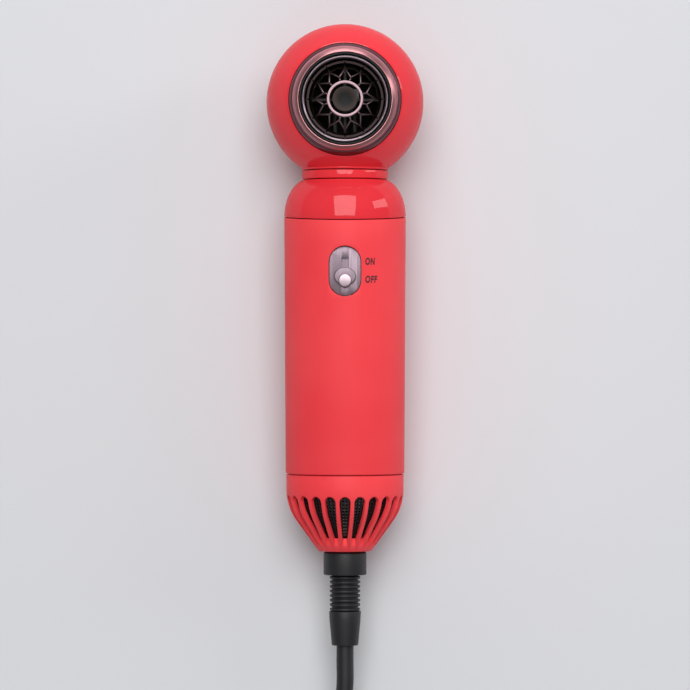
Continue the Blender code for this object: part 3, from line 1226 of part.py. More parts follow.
def tie(inner, outer, grey):
    """A flat band round one side of the hank."""
    low_in, high_in = HANK_LIFT - FIT, hank_high() + FIT
    near = inner - FIT
    far = outer + FIT
    wall = TIE_THICKNESS
    band = prisms("cord_tie", [rectangle(-far - wall, wall - near, low_in - wall, high_in + wall)],
                  -TIE_WIDTH / 2, TIE_WIDTH / 2, grey, None)
    hole = prisms("tie_hole", [rectangle(-far, -near, low_in, high_in)], -TIE_WIDTH, TIE_WIDTH, None, None)
    for item in (band, hole):
        item.rotation_euler = (pi / 2, 0, 0)
        item.location = (*HANK_CENTRE, 0)
    cut(band, hole)


def cord_to_plug(cord_black):
    """The lead's last stretch, off the hank's inner side and down to the plug."""
    x, y = HANK_CENTRE[0], HANK_CENTRE[1] - HANK_RUN / 2
    back = y + PLUG_SETBACK
    middle = PLUG_BODY[2] / 2 + TABLE_GAP
    start_x = HANK_INNER_FOLD - (1 + LEAD_LEAN) * CORD_RADIUS - FIT
    route = [(x + start_x, y + PLUG_LEAVE[0], PLUG_LEAVE[1])]
    route += [(x + across, y + along, high) for across, along, high in PLUG_ROUTE]
    route += [(x, back - FIT - CORD_RADIUS, middle), (x, back - FIT, middle)]
    wire("cord_end", smooth_route(route, CORD_RADIUS), CORD_RADIUS, cord_black, None, 3)


def plug(plug_black, brass):
    """The plug's tapered body and its two blades."""
    px = HANK_CENTRE[0]
    width, length, height = PLUG_BODY
    back = HANK_CENTRE[1] - HANK_RUN / 2 + PLUG_SETBACK
    middle = height / 2 + TABLE_GAP
    bm = bmesh.new()
    loops = []
    for share, offset in ((PLUG_TAPER, 0), (1.0, PLUG_SHOULDER * length), (1.0, length)):
        half = share * width / 2
        rise = share * height / 2
        corners = [(-half, -rise), (half, -rise), (half, rise), (-half, rise)]
        loops.append([bm.verts.new((px + cx, back + offset, middle + cz)) for cx, cz in corners])
    for near, far in zip(loops, loops[1:]):
        for corner in range(4):
            after = (corner + 1) % 4
            bm.faces.new((near[corner], near[after], far[after], far[corner]))
    bm.faces.new(loops[0])
    bm.faces.new(loops[-1])
    long_edges = [edge for edge in bm.edges if abs(edge.verts[0].co.y - edge.verts[1].co.y) > length / 10]
    bmesh.ops.bevel(bm, geom=long_edges, offset=PLUG_EDGE, segments=2, profile=0.5, affect="EDGES",
                    material=-1)
    finished("plug_body", bm, plug_black, None)
    blade_width, blade_length, blade_height = BLADE_SIZE
    front = back + length + FIT
    for name, side in (("plug_blade_left", -1), ("plug_blade_right", 1)):
        blade_x = px + side * BLADE_SPACING / 2
        block(name, (blade_x - blade_width / 2, blade_x + blade_width / 2), (front, front + blade_length),
              (middle - blade_height / 2, middle + blade_height / 2), brass, None)


build()
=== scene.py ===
# %% [markdown]
# # A hand-held pet dryer, dressed over its own frame
# A ball head with a round outlet, a straight handle with a slide switch, and a slotted tail with the
# mains lead.  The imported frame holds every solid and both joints; this lesson gives each visible
# piece a fine mesh and a material.  Everything is in metres, unless a name says millimetres.

# %% Load the frame
import json
from math import asin, atan2, copysign, cos, hypot, pi, radians, sin, sqrt, tan

import bmesh
import bpy
from mathutils import Matrix, Vector


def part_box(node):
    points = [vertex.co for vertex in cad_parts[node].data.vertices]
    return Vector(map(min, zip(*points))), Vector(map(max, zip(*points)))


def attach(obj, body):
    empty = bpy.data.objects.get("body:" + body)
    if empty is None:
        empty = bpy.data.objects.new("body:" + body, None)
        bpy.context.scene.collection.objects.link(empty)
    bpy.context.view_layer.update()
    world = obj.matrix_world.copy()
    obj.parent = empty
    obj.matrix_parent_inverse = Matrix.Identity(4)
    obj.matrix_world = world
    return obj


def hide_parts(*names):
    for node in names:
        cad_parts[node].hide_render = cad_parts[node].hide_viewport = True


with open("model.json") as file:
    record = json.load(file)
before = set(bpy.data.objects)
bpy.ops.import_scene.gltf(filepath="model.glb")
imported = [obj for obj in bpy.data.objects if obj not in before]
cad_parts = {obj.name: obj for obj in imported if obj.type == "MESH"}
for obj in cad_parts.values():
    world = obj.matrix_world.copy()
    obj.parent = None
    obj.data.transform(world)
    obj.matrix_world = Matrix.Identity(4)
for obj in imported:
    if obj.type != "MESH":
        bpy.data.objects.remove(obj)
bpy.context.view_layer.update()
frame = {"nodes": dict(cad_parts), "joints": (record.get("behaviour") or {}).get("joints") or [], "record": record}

# %% [markdown]
# ## Two working frames
# The dryer lies on its back, a little tilted, so two frames serve to measure in: `upright`, with z
# along the handle from the tail's flat end and the outlet facing -y, and `outlet`, with its middle
# in the ball and z out of the grille.

# %% The two working frames
BALL_ABOVE_TAIL = 0.182691
FAN_ABOVE_TAIL = 0.0431
spin_joint = next(joint for joint in frame["joints"] if joint["name"] == "fan_spin")
along = Vector(spin_joint["axis"]).normalized()
outward = Vector(frame["record"]["mounts"][0]["axis"]).normalized()
right = Vector((1.0, 0.0, 0.0))
tail_end = Vector(spin_joint["pos_m"]) - FAN_ABOVE_TAIL * along


def frame_of(x_axis, y_axis, z_axis, origin):
    """A matrix from three directions and an origin."""
    turn = Matrix((x_axis, y_axis, z_axis)).transposed().to_4x4()
    return Matrix.Translation(origin) @ turn


upright = frame_of(right, -outward, along, tail_end)
outlet = frame_of(right, along, outward, tail_end + BALL_ABOVE_TAIL * along)
room = Matrix.Identity(4)
print("ball's middle:", [round(v, 4) for v in outlet.translation])

# %% [markdown]
# ## Camera
# A long lens from far away keeps round shapes round.  It looks along the outlet's axis, with the
# head at the top, and the lead leaves at the lower edge.

# %% Camera
LENS = 200.0
SENSOR_WIDTH = 36.0
VIEW_HEIGHT = 0.280
VIEW_MIDDLE = Vector((0.0, -0.0045, 0.035))


def in_scene(name, data):
    """A new object with the given data, linked into the scene."""
    made = bpy.data.objects.new(name, data)
    bpy.context.scene.collection.objects.link(made)
    return made


camera_data = bpy.data.cameras.new("camera")
camera_data.lens = LENS
camera_data.sensor_width = SENSOR_WIDTH
camera = in_scene("camera", camera_data)
camera_distance = VIEW_HEIGHT * LENS / SENSOR_WIDTH
camera.matrix_world = frame_of(right, along, outward, VIEW_MIDDLE + camera_distance * outward)
bpy.context.scene.camera = camera
print("camera stands", round(camera_distance, 2), "m away")

# %% [markdown]
# ## Colours and nodes
# Colours are hex values, as on a paint chart; one function turns them into the linear numbers that
# a renderer needs.  Another adds a node with its settings and links.  The last two let a pattern
# drive a material's roughness and bump, or its colour.

# %% Colour and node helpers
def linear(hex_value):
    """An sRGB hex colour as linear RGBA."""
    shares = [int(hex_value[index:index + 2], 16) / 255 for index in (0, 2, 4)]
    return (*[share / 12.92 if share <= 0.04045 else ((share + 0.055) / 1.055) ** 2.4 for share in shares],
            1.0)


def add_node(tree, kind, settings, links=()):
    """Adds a node with its properties or sockets, and links others into it."""
    node = tree.nodes.new(kind)
    for name, value in settings.items():
        if isinstance(name, str) and hasattr(node, name):
            setattr(node, name, value)
        else:
            node.inputs[name].default_value = value
    for name, source in dict(links).items():
        tree.links.new(source, node.inputs[name])
    return node


def local_point(tree, place):
    """The place on the object, measured in a working frame."""
    spot = add_node(tree, "ShaderNodeTexCoord", {})
    return add_node(tree, "ShaderNodeMapping",
                    {"vector_type": "TEXTURE", "Location": place.translation, "Rotation": place.to_euler()},
                    {"Vector": spot.outputs["Object"]}).outputs["Vector"]


def drive_surface(material, pattern, low, high, depth_mm, spread):
    """Lets a pattern move the roughness and lift a bump."""
    tree = material.node_tree
    shader = tree.nodes["Principled BSDF"]
    middle = shader.inputs["Roughness"].default_value
    limits = {"From Min": low, "From Max": high, "To Min": middle - spread, "To Max": middle + spread}
    swing = add_node(tree, "ShaderNodeMapRange", limits, {"Value": pattern})
    bump = add_node(tree, "ShaderNodeBump", {"Strength": 1.0, "Distance": depth_mm / 1000},
                    {"Height": pattern})
    tree.links.new(swing.outputs["Result"], shader.inputs["Roughness"])
    tree.links.new(bump.outputs["Normal"], shader.inputs["Normal"])


def drive_colour(material, share, low, high, low_hex, high_hex):
    """Lets a share drive the colour between two places on a ramp."""
    tree = material.node_tree
    ramp = add_node(tree, "ShaderNodeValToRGB", {}, {"Fac": share})
    for stop, position, hex_value in zip(ramp.color_ramp.elements, (low, high), (low_hex, high_hex)):
        stop.position = position
        stop.color = linear(hex_value)
    tree.links.new(ramp.outputs["Color"], tree.nodes["Principled BSDF"].inputs["Base Color"])


print("mid grey in linear light:", round(linear("808080")[0], 3))

# %% [markdown]
# ## Fine grain
# Moulded plastic, lacquer and rubber are never quite even: noise moves the roughness a little and
# lifts a very shallow bump.  Squeezed along two axes, the same noise turns into brush marks.

# %% Grain, mottling and plain materials
def add_grain(material, place, size_mm, depth_mm, spread, stretch=(1.0, 1.0, 1.0)):
    """Noise of a real size; a bigger stretch squeezes it along that axis."""
    tree = material.node_tree
    point = add_node(tree, "ShaderNodeVectorMath", {"operation": "MULTIPLY", 1: stretch},
                     {0: local_point(tree, place)})
    noise = add_node(tree, "ShaderNodeTexNoise", {"Scale": 1000 / size_mm, "Detail": 3.0},
                     {"Vector": point.outputs["Vector"]})
    drive_surface(material, noise.outputs["Fac"], 0.3, 0.7, depth_mm, spread)


def add_mottle(material, place, size_mm, dark_hex, light_hex):
    """Slow drift between two close colours, as pigment and handling leave it."""
    tree = material.node_tree
    noise = add_node(tree, "ShaderNodeTexNoise", {"Scale": 1000 / size_mm, "Detail": 2.0},
                     {"Vector": local_point(tree, place)})
    drive_colour(material, noise.outputs["Fac"], 0.35, 0.65, dark_hex, light_hex)


def new_material(name, hex_value, roughness, metallic=0.0, grain=(), **sockets):
    """A Principled material with plain values and grain."""
    made = bpy.data.materials.new(name)
    made.use_nodes = True
    shader = made.node_tree.nodes["Principled BSDF"]
    shader.inputs["Base Color"].default_value = linear(hex_value)
    shader.inputs["Roughness"].default_value = roughness
    shader.inputs["Metallic"].default_value = metallic
    for socket, value in sockets.items():
        shader.inputs[socket.replace("_", " ").title().replace("Ior", "IOR")].default_value = value
    if grain:
        add_grain(made, *grain)
    return made


print("pattern helpers ready")

# %% [markdown]
# ## The reds
# The body is black ABS with a coral red lacquer on its outside.  Sprayed lacquer ripples faintly, 1
# to 1.5 mm wide and a few thousandths of a millimetre deep.

# %% Lacquer
# Polished lacquer on head, neck and shoulder: a deep red that mirrors the lamps.
polished_red = new_material("polished_red_lacquer_on_abs", "E9323D", 0.36, grain=(upright, 1.5, 0.004, 0.03),
                            coat_weight=0.40, coat_roughness=0.05, coat_ior=1.70, specular_ior_level=0.0)
add_mottle(polished_red, upright, 30, "E62F3A", "EB3640")
# Satin lacquer on handle and tail, for grip: a lighter coral, its extra lightness a painted sheen, without sharp
# reflections.
satin_red = new_material("satin_red_lacquer_with_painted_sheen", "F5434B", 0.52, grain=(upright, 0.9, 0.005, 0.05),
                         coat_weight=0.15, coat_roughness=0.42, specular_ior_level=0.10)
add_mottle(satin_red, upright, 40, "F44149", "F84B51")
# Bare ABS inside the shells: a dull black, so the dryer looks dark behind grille and slots.
bare_abs = new_material("unpainted_black_abs", "1A191B", 0.55, grain=(upright, 1.2, 0.010, 0.06))
print("two reds and the bare plastic")

# %% [markdown]
# ## Metals at the outlet and the switch
# Collar and grille are zinc castings, turned and plated in rose bronze, so their tool marks run
# round the outlet's axis.  Brush and tool marks are drawn about four times coarser than real ones.

# %% Plated and brushed metals
# A wave texture of scale 1 repeats after this length.
WAVE_PERIOD = 0.314


def add_turning_marks(material, spacing_mm, depth_mm, spread):
    """Rings round the outlet's axis, as a lathe tool leaves them."""
    tree = material.node_tree
    rings = add_node(tree, "ShaderNodeTexWave", {"wave_type": "RINGS", "rings_direction": "Z", "Detail": 2.0,
                                                 "Scale": 1000 * WAVE_PERIOD / spacing_mm, "Distortion": 0.6},
                     {"Vector": local_point(tree, outlet)})
    drive_surface(material, rings.outputs["Fac"], 0.0, 1.0, depth_mm, spread)


def add_fade(material, near_mm, far_mm, near_hex, far_hex):
    """A colour that changes with the distance from the outlet's axis."""
    tree = material.node_tree
    flat = add_node(tree, "ShaderNodeVectorMath", {"operation": "MULTIPLY", 1: (1.0, 1.0, 0.0)},
                    {0: local_point(tree, outlet)})
    reach = add_node(tree, "ShaderNodeVectorMath", {"operation": "LENGTH"}, {0: flat.outputs["Vector"]})
    share = add_node(tree, "ShaderNodeMapRange", {"From Min": near_mm / 1000, "From Max": far_mm / 1000},
                     {"Value": reach.outputs["Value"]})
    drive_colour(material, share.outputs["Result"], 0.0, 1.0, near_hex, far_hex)


# Rose bronze on the collar's land: a warm pink metal that carries the lamps as soft arcs.
rose_bronze = new_material("rose_bronze_plated_zinc", "BC8286", 0.34, 1.0)
# Rose bronze painted darker on the collar's outer band and groove, as painted shade: a maroon frame between the
# red ball and the pink land.
collar_band_painted_shade = new_material("collar_band_bronze_with_painted_shade", "6E474D", 0.30, 1.0)
# Grille plating: pink on the eye ring, darker towards the rim as painted shade, so the petals fade outwards.
grille_plating_painted_shade = new_material("rose_bronze_grille_with_painted_shade", "8E6E72", 0.34, 1.0)
for bronze in (rose_bronze, collar_band_painted_shade, grille_plating_painted_shade):
    add_turning_marks(bronze, 0.6, 0.001, 0.04)
# The fade to near black towards the rim is painted shade, where the dished casting falls back.
add_fade(grille_plating_painted_shade, 7.8, 13.6, "887177", "2C2425")
# Bright nickel on bezel and button: the two lightest glints of the dryer.
bright_plating = new_material("bright_nickel_plating", "A8979E", 0.34, 1.0, (outlet, 2.0, 0.001, 0.04))
# Steel brushed along the handle, on plate and wing: grey streaks, brighter along the middle.
brushed_steel = new_material("brushed_steel_plate", "83747D", 0.44, 1.0,
                             (upright, 10, 0.006, 0.08, (22, 22, 1)))
# Baked enamel on the hub: a dark disc with a faint brown edge in the grille's eye.
hub_enamel = new_material("dark_baked_enamel", "1A1514", 0.62, specular_ior_level=0.30)
add_turning_marks(hub_enamel, 0.5, 0.002, 0.06)
add_fade(hub_enamel, 2.2, 4.2, "0F0C0C", "362B26")
print("five metals and the hub's enamel")

# %% [markdown]
# ## Blacks
# Four dark materials have to stay apart, so each differs from the others in depth and sheen.

# %% Black plastics and rubber
# Glass-filled nylon on rim and barrel: the deepest black, with a fine spark-eroded grain.
black_nylon = new_material("black_glass_filled_nylon", "0E0D0E", 0.50, grain=(upright, 0.7, 0.003, 0.05),
                           specular_ior_level=0.25)
# Soft PVC of strain relief, lead and plug: a greyer black with a broad dull sheen.
soft_pvc = new_material("black_soft_pvc", "1B1B1E", 0.50, grain=(room, 1.0, 0.012, 0.07))
# Blackened steel of the intake screen: small glints between its holes.
black_mesh = new_material("blackened_steel_mesh", "1A1A1C", 0.45, 0.3, (upright, 1.2, 0.005, 0.08))
# Pad-printed ink of the two words: matt, dark maroon rather than black, as it is thin.
lettering_ink = new_material("pad_printed_ink", "3A1D24", 0.50, grain=(upright, 0.5, 0.004, 0.05))
print("three blacks and the ink")

# %% [markdown]
# ## Inner materials
# Mica and wire show through the grille, the duct and leads through the slots.  They sit in shadow; somebody
# may take the part apart, so they get their real materials too, only the mica painted darker as shade.

# %% Inner materials
# Nickel-plated brass of the plug's blades: a warm bright metal, drawn lengthwise.
plated_brass = new_material("nickel_plated_brass", "CFC8BA", 0.24, 1.0, (room, 3.0, 0.004, 0.06, (1, 8, 1)))
# Polyethylene of the tie: a waxy grey against the black lead.
grey_tie = new_material("grey_polyethylene_strap", "4B4C50", 0.45, grain=(room, 1.0, 0.012, 0.06))
inner_rows = {
    # Mica painted near black as shade: a flaky brown behind the petals.
    "mica": ("mica_sheet_darkened_as_painted_shade", "241C16", 0.58, 0.0, (outlet, 3.0, 0.020, 0.10, (1, 1, 6))),
    # Black zinc plating on screws, can, shaft and nut: a dull dark metal.
    "steel": ("black_zinc_plated_steel", "56575B", 0.50, 1.0, (upright, 1.5, 0.004, 0.08)),
    # Nickel-chrome wire that has glowed: brownish, with an oxide skin.
    "heating_wire": ("oxidised_nickel_chrome_wire", "6B5F58", 0.42, 1.0, (outlet, 0.6, 0.006, 0.08)),
    # Enamelled copper: glossy orange brown, ridged like wound wire.
    "copper": ("enamelled_copper_winding", "A8562C", 0.30, 1.0, (upright, 2.0, 0.040, 0.06, (1, 1, 8))),
    # Sintered ferrite: a rough dark grey.
    "magnet": ("sintered_ferrite", "3B3C40", 0.55, 0.2, (upright, 0.6, 0.020, 0.08)),
    # Solder mask over glass epoxy: the usual glossy green of a board.
    "board_laminate": ("solder_mask_on_glass_epoxy", "1E5A33", 0.36, 0.0, (upright, 0.9, 0.008, 0.05)),
    # Shrink sleeve round capacitor and choke: smooth blue black.
    "component_sleeve": ("printed_shrink_sleeve", "20222E", 0.34, 0.0, (upright, 1.0, 0.006, 0.06)),
    # Extruded aluminium: pale, with drawn lines along the fins.
    "heat_sink_aluminium": ("extruded_aluminium", "C4C6C9", 0.38, 1.0,
                            (upright, 4.0, 0.006, 0.08, (14, 14, 1))),
    # Red wire insulation: the live colour, a little shiny.
    "red_wire": ("red_wire_insulation", "A81C20", 0.45, 0.0, (upright, 0.8, 0.006, 0.06)),
    # Woven glass sleeve on the heater's leads: a matt grey beige that shows its weave.
    "white_wire": ("woven_glass_sleeve", "8A877C", 0.70, 0.0, (upright, 0.8, 0.040, 0.08))}
inner_materials = {slot: new_material(*row) for slot, row in inner_rows.items()}
print("materials:", len(bpy.data.materials))

# %% [markdown]
# ## Shape helpers
# Most of this object is turned, so the main helper spins a half outline round an axis.  Others make
# boxes and rods, cut, carve, and round every sharp edge, because a small round catches the light.

# %% Basic shapes
SAME_POINT = 1e-7


def spun(outline, steps, closed=True):
    """Spins (radius, height) points round the z axis."""
    made = bmesh.new()
    verts = [made.verts.new((radius, 0.0, height)) for radius, height in outline]
    edges = [made.edges.new(pair) for pair in zip(verts, verts[1:])]
    if closed:
        edges.append(made.edges.new((verts[-1], verts[0])))
    bmesh.ops.spin(made, geom=verts + edges, cent=(0, 0, 0), axis=(0, 0, 1), angle=2 * pi, steps=steps,
                   use_merge=True)
    bmesh.ops.remove_doubles(made, verts=made.verts, dist=SAME_POINT)
    bmesh.ops.recalc_face_normals(made, faces=made.faces)
    return made


def block(width, depth, height, place=room):
    """A box round the middle of a place."""
    made = bmesh.new()
    bmesh.ops.create_cube(made, size=1.0, matrix=place @ Matrix.Diagonal((width, depth, height, 1.0)))
    return made


def rod(radius, length, place, segments):
    """A round bar along the z axis of a place."""
    made = bmesh.new()
    bmesh.ops.create_cone(made, segments=segments, radius1=radius, radius2=radius, depth=length,
                          cap_ends=True, matrix=place)
    return made


def arc_points(middle_x, middle_z, radius, start, end, steps):
    """Points on an arc, from one angle to another."""
    return [(middle_x + radius * cos(start + (end - start) * step / steps),
             middle_z + radius * sin(start + (end - start) * step / steps)) for step in range(steps + 1)]


print("basic shapes ready")

# %% Cutting and rounding
def sliced(made, spot, facing, **options):
    """Cuts all of a mesh with a plane."""
    return bmesh.ops.bisect_plane(made, geom=[*made.verts, *made.edges, *made.faces], plane_co=spot,
                                  plane_no=facing, **options)


def only(parts, kind):
    """The parts of one kind that a mesh operation returned."""
    return [part for part in parts if isinstance(part, kind)]


def bevelled(made, edges, width, segments, clamp=False):
    """Rounds the given edges."""
    bmesh.ops.bevel(made, geom=edges, offset=width, segments=segments, profile=0.5, affect="EDGES",
                    material=-1, clamp_overlap=clamp)
    return made


def sharp_edges(made, angle):
    """The edges that are sharper than an angle in degrees."""
    return [edge for edge in made.edges if edge.is_manifold and edge.calc_face_angle() > radians(angle)]


def round_edges(made, width, sharper_than=50, segments=3):
    """Rounds all sharp edges, without overlaps."""
    return bevelled(made, sharp_edges(made, sharper_than), width, segments, True)


def walled(sheet, thickness):
    """Gives an open sheet a wall on the side of its middle."""
    bmesh.ops.recalc_face_normals(sheet, faces=sheet.faces)
    if sum(part.normal.dot(part.calc_center_median()) for part in sheet.faces) < 0:
        bmesh.ops.reverse_faces(sheet, faces=sheet.faces)
    bmesh.ops.solidify(sheet, geom=sheet.faces, thickness=thickness)
    return sheet


def mesh_of(made, name):
    """Mesh data made from a mesh that was being edited."""
    mesh = bpy.data.meshes.new(name)
    made.to_mesh(mesh)
    made.free()
    return mesh


def added(made, part):
    """Adds another closed mesh to this one."""
    mesh = mesh_of(part, "part")
    made.from_mesh(mesh)
    bpy.data.meshes.remove(mesh)
    return made


def carved(made, cutter, operation="DIFFERENCE"):
    """Cuts one mesh with another and returns the result."""
    solids = [in_scene("carving", mesh_of(shape, "carving")) for shape in (made, cutter)]
    knife = solids[0].modifiers.new("knife", "BOOLEAN")
    knife.operation = operation
    knife.solver = "EXACT"
    knife.object = solids[1]
    result = bmesh.new()
    result.from_object(solids[0], bpy.context.evaluated_depsgraph_get())
    for solid in solids:
        bpy.data.objects.remove(solid)
    return result


print("cutting and rounding ready")

# %% Handing a piece over
def inside_of(made, is_inside):
    """Marks the faces that a test calls inside, for the second material."""
    for face in made.faces:
        face.material_index = 1 if is_inside(face.calc_center_median(), face.normal) else 0
    return made


def finished(name, made, place, material, slot, *stands_for, body="housing", smooth_below=35, inside=None):
    """Puts a mesh in its place, dresses it and lets it ride on its body."""
    bmesh.ops.transform(made, matrix=place, verts=made.verts)
    mesh = mesh_of(made, name)
    mesh.shade_smooth()
    mesh.set_sharp_from_angle(angle=radians(smooth_below))
    mesh.materials.append(material)
    if inside:
        mesh.materials.append(inside)
    piece = in_scene(name, mesh)
    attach(piece, body)
    if stands_for:
        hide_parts(*stands_for)
    print(name, "has", len(mesh.polygons), "faces")
    return piece


print("pieces can be handed over")

# %% [markdown]
# ## The mains lead
# A two-core lead of 7 mm leaves the strain relief and sinks to the table in a slow curve.  Its
# unused length lies in a tied hank of three layers, wound inwards, outwards and inwards again.
# Points listed one by one do for the free stretches; the turns come from a loop.

# %% Mains lead: hank
CORD_RADIUS = 0.0035
HANK_MIDDLE = Vector((0.0080, -0.2620, 0.0))
HANK_RUN = 0.1000
WIDE_FOLD = 0.0321
TIGHT_FOLD = 0.0213
TURN_PITCH = 0.0072
LAYERS = 3
LOW_LAYER = 0.0048
LAYER_TURNS = (WIDE_FOLD - TIGHT_FOLD) / TURN_PITCH
CLIMB_TURNS = 0.25
FOLD_LENGTH = pi * (WIDE_FOLD + TIGHT_FOLD) / 2
STEP_COUNT = 44


def eased(share):
    """A share that starts and ends gently."""
    held = min(max(share, 0.0), 1.0)
    return held * held * (3 - 2 * held)


def hank_point(turns):
    """A point of the hank: each turn is a run and a fold, twice."""
    layer, rest = divmod(turns / LAYER_TURNS, 1.0)
    inward = rest if layer % 2 == 0 else 1 - rest
    fold = WIDE_FOLD - (WIDE_FOLD - TIGHT_FOLD) * inward
    climbed = sum(eased((turns - change * LAYER_TURNS) / CLIMB_TURNS + 0.5) for change in range(1, LAYERS))
    way = turns % 1.0 * 2 * (HANK_RUN + FOLD_LENGTH)
    back, way = divmod(way, HANK_RUN + FOLD_LENGTH)
    along_run = min(way, HANK_RUN) / HANK_RUN
    turned = pi * max(way - HANK_RUN, 0.0) / FOLD_LENGTH
    half = Vector((-fold * cos(turned), HANK_RUN * (0.5 - along_run) - fold * sin(turned), 0.0))
    side = half if back == 0 else -half
    return HANK_MIDDLE + side + Vector((0.0, 0.0, LOW_LAYER + TURN_PITCH * climbed))


point_count = round(LAYERS * LAYER_TURNS * STEP_COUNT)
hank_route = [hank_point(index / STEP_COUNT) for index in range(point_count)]
print("points in the hank:", point_count)

# %% Mains lead: whole route
RELIEF_LENGTH = 0.0385
FAR_FOLD = HANK_MIDDLE - Vector((0.0, HANK_RUN / 2, 0.0))
lead_exit = tail_end - RELIEF_LENGTH * along
free_route = [lead_exit, lead_exit - 0.0080 * along, lead_exit - 0.0153 * along,
              *map(Vector, ((-0.0014, -0.1535, 0.0182), (-0.0054, -0.1644, 0.0156),
                            (-0.0119, -0.1740, 0.0128), (-0.0184, -0.1836, 0.0098),
                            (-0.0224, -0.1945, 0.0070), (-0.0240, -0.2050, 0.0052)))]
plug_route = [FAR_FOLD + Vector(step) for step in (
    (TIGHT_FOLD, 0.0, 0.0192), (0.0202, 0.0101, 0.0184), (0.0165, 0.0196, 0.0165), (0.0107, 0.0280, 0.0143),
    (0.0048, 0.0364, 0.0120), (0.0012, 0.0459, 0.0101), (0.0, 0.0520, 0.0094), (0.0, 0.0583, 0.0092))]
lead_route = free_route + hank_route + plug_route
print("points in the lead:", len(lead_route))

# %% Mains lead: curve
lead_curve = bpy.data.curves.new("mains_lead", "CURVE")
lead_curve.dimensions = "3D"
lead_curve.bevel_depth = CORD_RADIUS
lead_curve.bevel_resolution = 5
lead_curve.resolution_u = 4
lead_curve.use_fill_caps = True
lead_spline = lead_curve.splines.new("BEZIER")
lead_spline.bezier_points.add(len(lead_route) - 1)
for knot, spot in zip(lead_spline.bezier_points, lead_route):
    knot.co = spot
    knot.handle_left_type = knot.handle_right_type = "AUTO"
lead_curve.materials.append(soft_pvc)
mains_lead = in_scene("mains_lead", lead_curve)
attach(mains_lead, "housing")
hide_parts("power_cord", "cord_coil", "cord_end")

# %% [markdown]
# ## Plug
# The moulded plug tapers towards its lead and has grip ridges on both flat sides.  One box is cut
# across, its back end is drawn in, and the face of each band is pushed in, which leaves the ridges.

# %% Plug body
PLUG_MIDDLE = FAR_FOLD + Vector((0.0, 0.0716, 0.0092))
PLUG_SIZE = Vector((0.0240, 0.0260, 0.0180))
PLUG_BANDS = 12
PLUG_BACK_SHARE = 0.62
PLUG_TAPER_SHARE = 0.55
RIDGES_END = 0.004
SMALLEST_BAND = 1e-5
plug = block(*PLUG_SIZE)
for cut in range(1, PLUG_BANDS):
    sliced(plug, (0, PLUG_SIZE.y * (cut / PLUG_BANDS - 0.5), 0), (0, 1, 0))
for vert in plug.verts:
    share = min((vert.co.y / PLUG_SIZE.y + 0.5) / PLUG_TAPER_SHARE, 1.0)
    width = PLUG_BACK_SHARE + (1 - PLUG_BACK_SHARE) * share * (2 - share)
    vert.co.x *= width
    vert.co.z *= width
bevelled(plug, sharp_edges(plug, 60), 0.0026, 4)
ridged = [part for part in plug.faces if abs(part.normal.z) > 0.9 and part.calc_area() > SMALLEST_BAND
          and part.calc_center_median().y < RIDGES_END]
bmesh.ops.inset_individual(plug, faces=ridged, thickness=0.00045, depth=-0.0005)
plug_body = finished("plug_moulding", plug, Matrix.Translation(PLUG_MIDDLE), soft_pvc, "black_rubber",
                     "plug_body")

# %% Plug blades
BLADE_HOLE = 0.0016
HOLE_OFFSET = 0.0035


def plug_blade(name, side):
    """A flat blade with a bevelled tip and a round hole."""
    low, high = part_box(name)
    blade = block(*(high - low))
    bevelled(blade, [edge for edge in blade.edges if all(vert.co.y > 0 for vert in edge.verts)], 0.0005, 2)
    across = Matrix.Translation((0, HOLE_OFFSET, 0)) @ Matrix.Rotation(pi / 2, 4, "Y")
    blade = round_edges(carved(blade, rod(BLADE_HOLE, 0.01, across, 24)), 0.00012, 60, 1)
    return finished(f"contact_blade_{side}", blade, Matrix.Translation((low + high) / 2), plated_brass,
                    "plated_blades", name)


blades = [plug_blade("plug_blade_left", "left"), plug_blade("plug_blade_right", "right")]

# %% [markdown]
# ## Tie
# A flat strap goes once round all layers on one side of the hank.  A small lock sits where its end
# is drawn through.

# %% Tie
STRAP_THICKNESS = 0.0008
LOCK_SIZE = (0.0060, 0.0094, 0.0016)
LOCK_OFFSET = 0.002
tie_low, tie_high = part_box("cord_tie")
tie_size = tie_high - tie_low
strap = block(*tie_size)
corners = [edge for edge in strap.edges if abs(edge.verts[0].co.y - edge.verts[1].co.y) > 0.001]
bevelled(strap, corners, 0.0036, 6)
bmesh.ops.delete(strap, geom=[part for part in strap.faces if abs(part.normal.y) > 0.9], context="FACES")
round_edges(walled(strap, STRAP_THICKNESS), 0.0002, 50, 2)
lock = round_edges(block(*LOCK_SIZE), 0.0005)
bmesh.ops.translate(lock, vec=(LOCK_OFFSET, 0, tie_size.z / 2 - LOCK_SIZE[2] / 2), verts=lock.verts)
tie = finished("hank_tie", added(strap, lock), Matrix.Translation((tie_low + tie_high) / 2), grey_tie,
               "tie_plastic", "cord_tie")

# %% [markdown]
# ## Ball head
# Two moulded shells meet just behind the head's widest place.  Each is an arc spun round the
# outlet's axis, so the round opening comes out clean.  A flat cut frees the neck, and its edge is
# drawn down into a short straight lip.

# %% Ball shells
BALL_RADIUS = 0.0320
SHELL_WALL = 0.0022
NECK_RADIUS = 0.0175
NECK_LIP = 0.0007
SPLIT = 0.0020
HALF_GAP = 0.00015
OUTLET_OPENING = 0.0228
neck_cut = sqrt(BALL_RADIUS ** 2 - NECK_RADIUS ** 2)
front_edge = pi / 2 + asin((SPLIT - HALF_GAP) / BALL_RADIUS)
rear_edge = pi / 2 + asin((SPLIT + HALF_GAP) / BALL_RADIUS)


def ball_shell(start, end):
    """A zone of the ball between two angles from the outlet's axis, open at the neck."""
    zone = spun([(x, z) for z, x in arc_points(0, 0, BALL_RADIUS, start, end, 24)], 160, closed=False)
    cut = sliced(zone, (0, -neck_cut, 0), (0, -1, 0), clear_outer=True)
    lip = bmesh.ops.extrude_edge_only(zone, edges=only(cut["geom_cut"], bmesh.types.BMEdge))["geom"]
    bmesh.ops.translate(zone, vec=(0, -NECK_LIP, 0), verts=only(lip, bmesh.types.BMVert))
    return round_edges(walled(zone, SHELL_WALL), 0.00012, 60, 2)


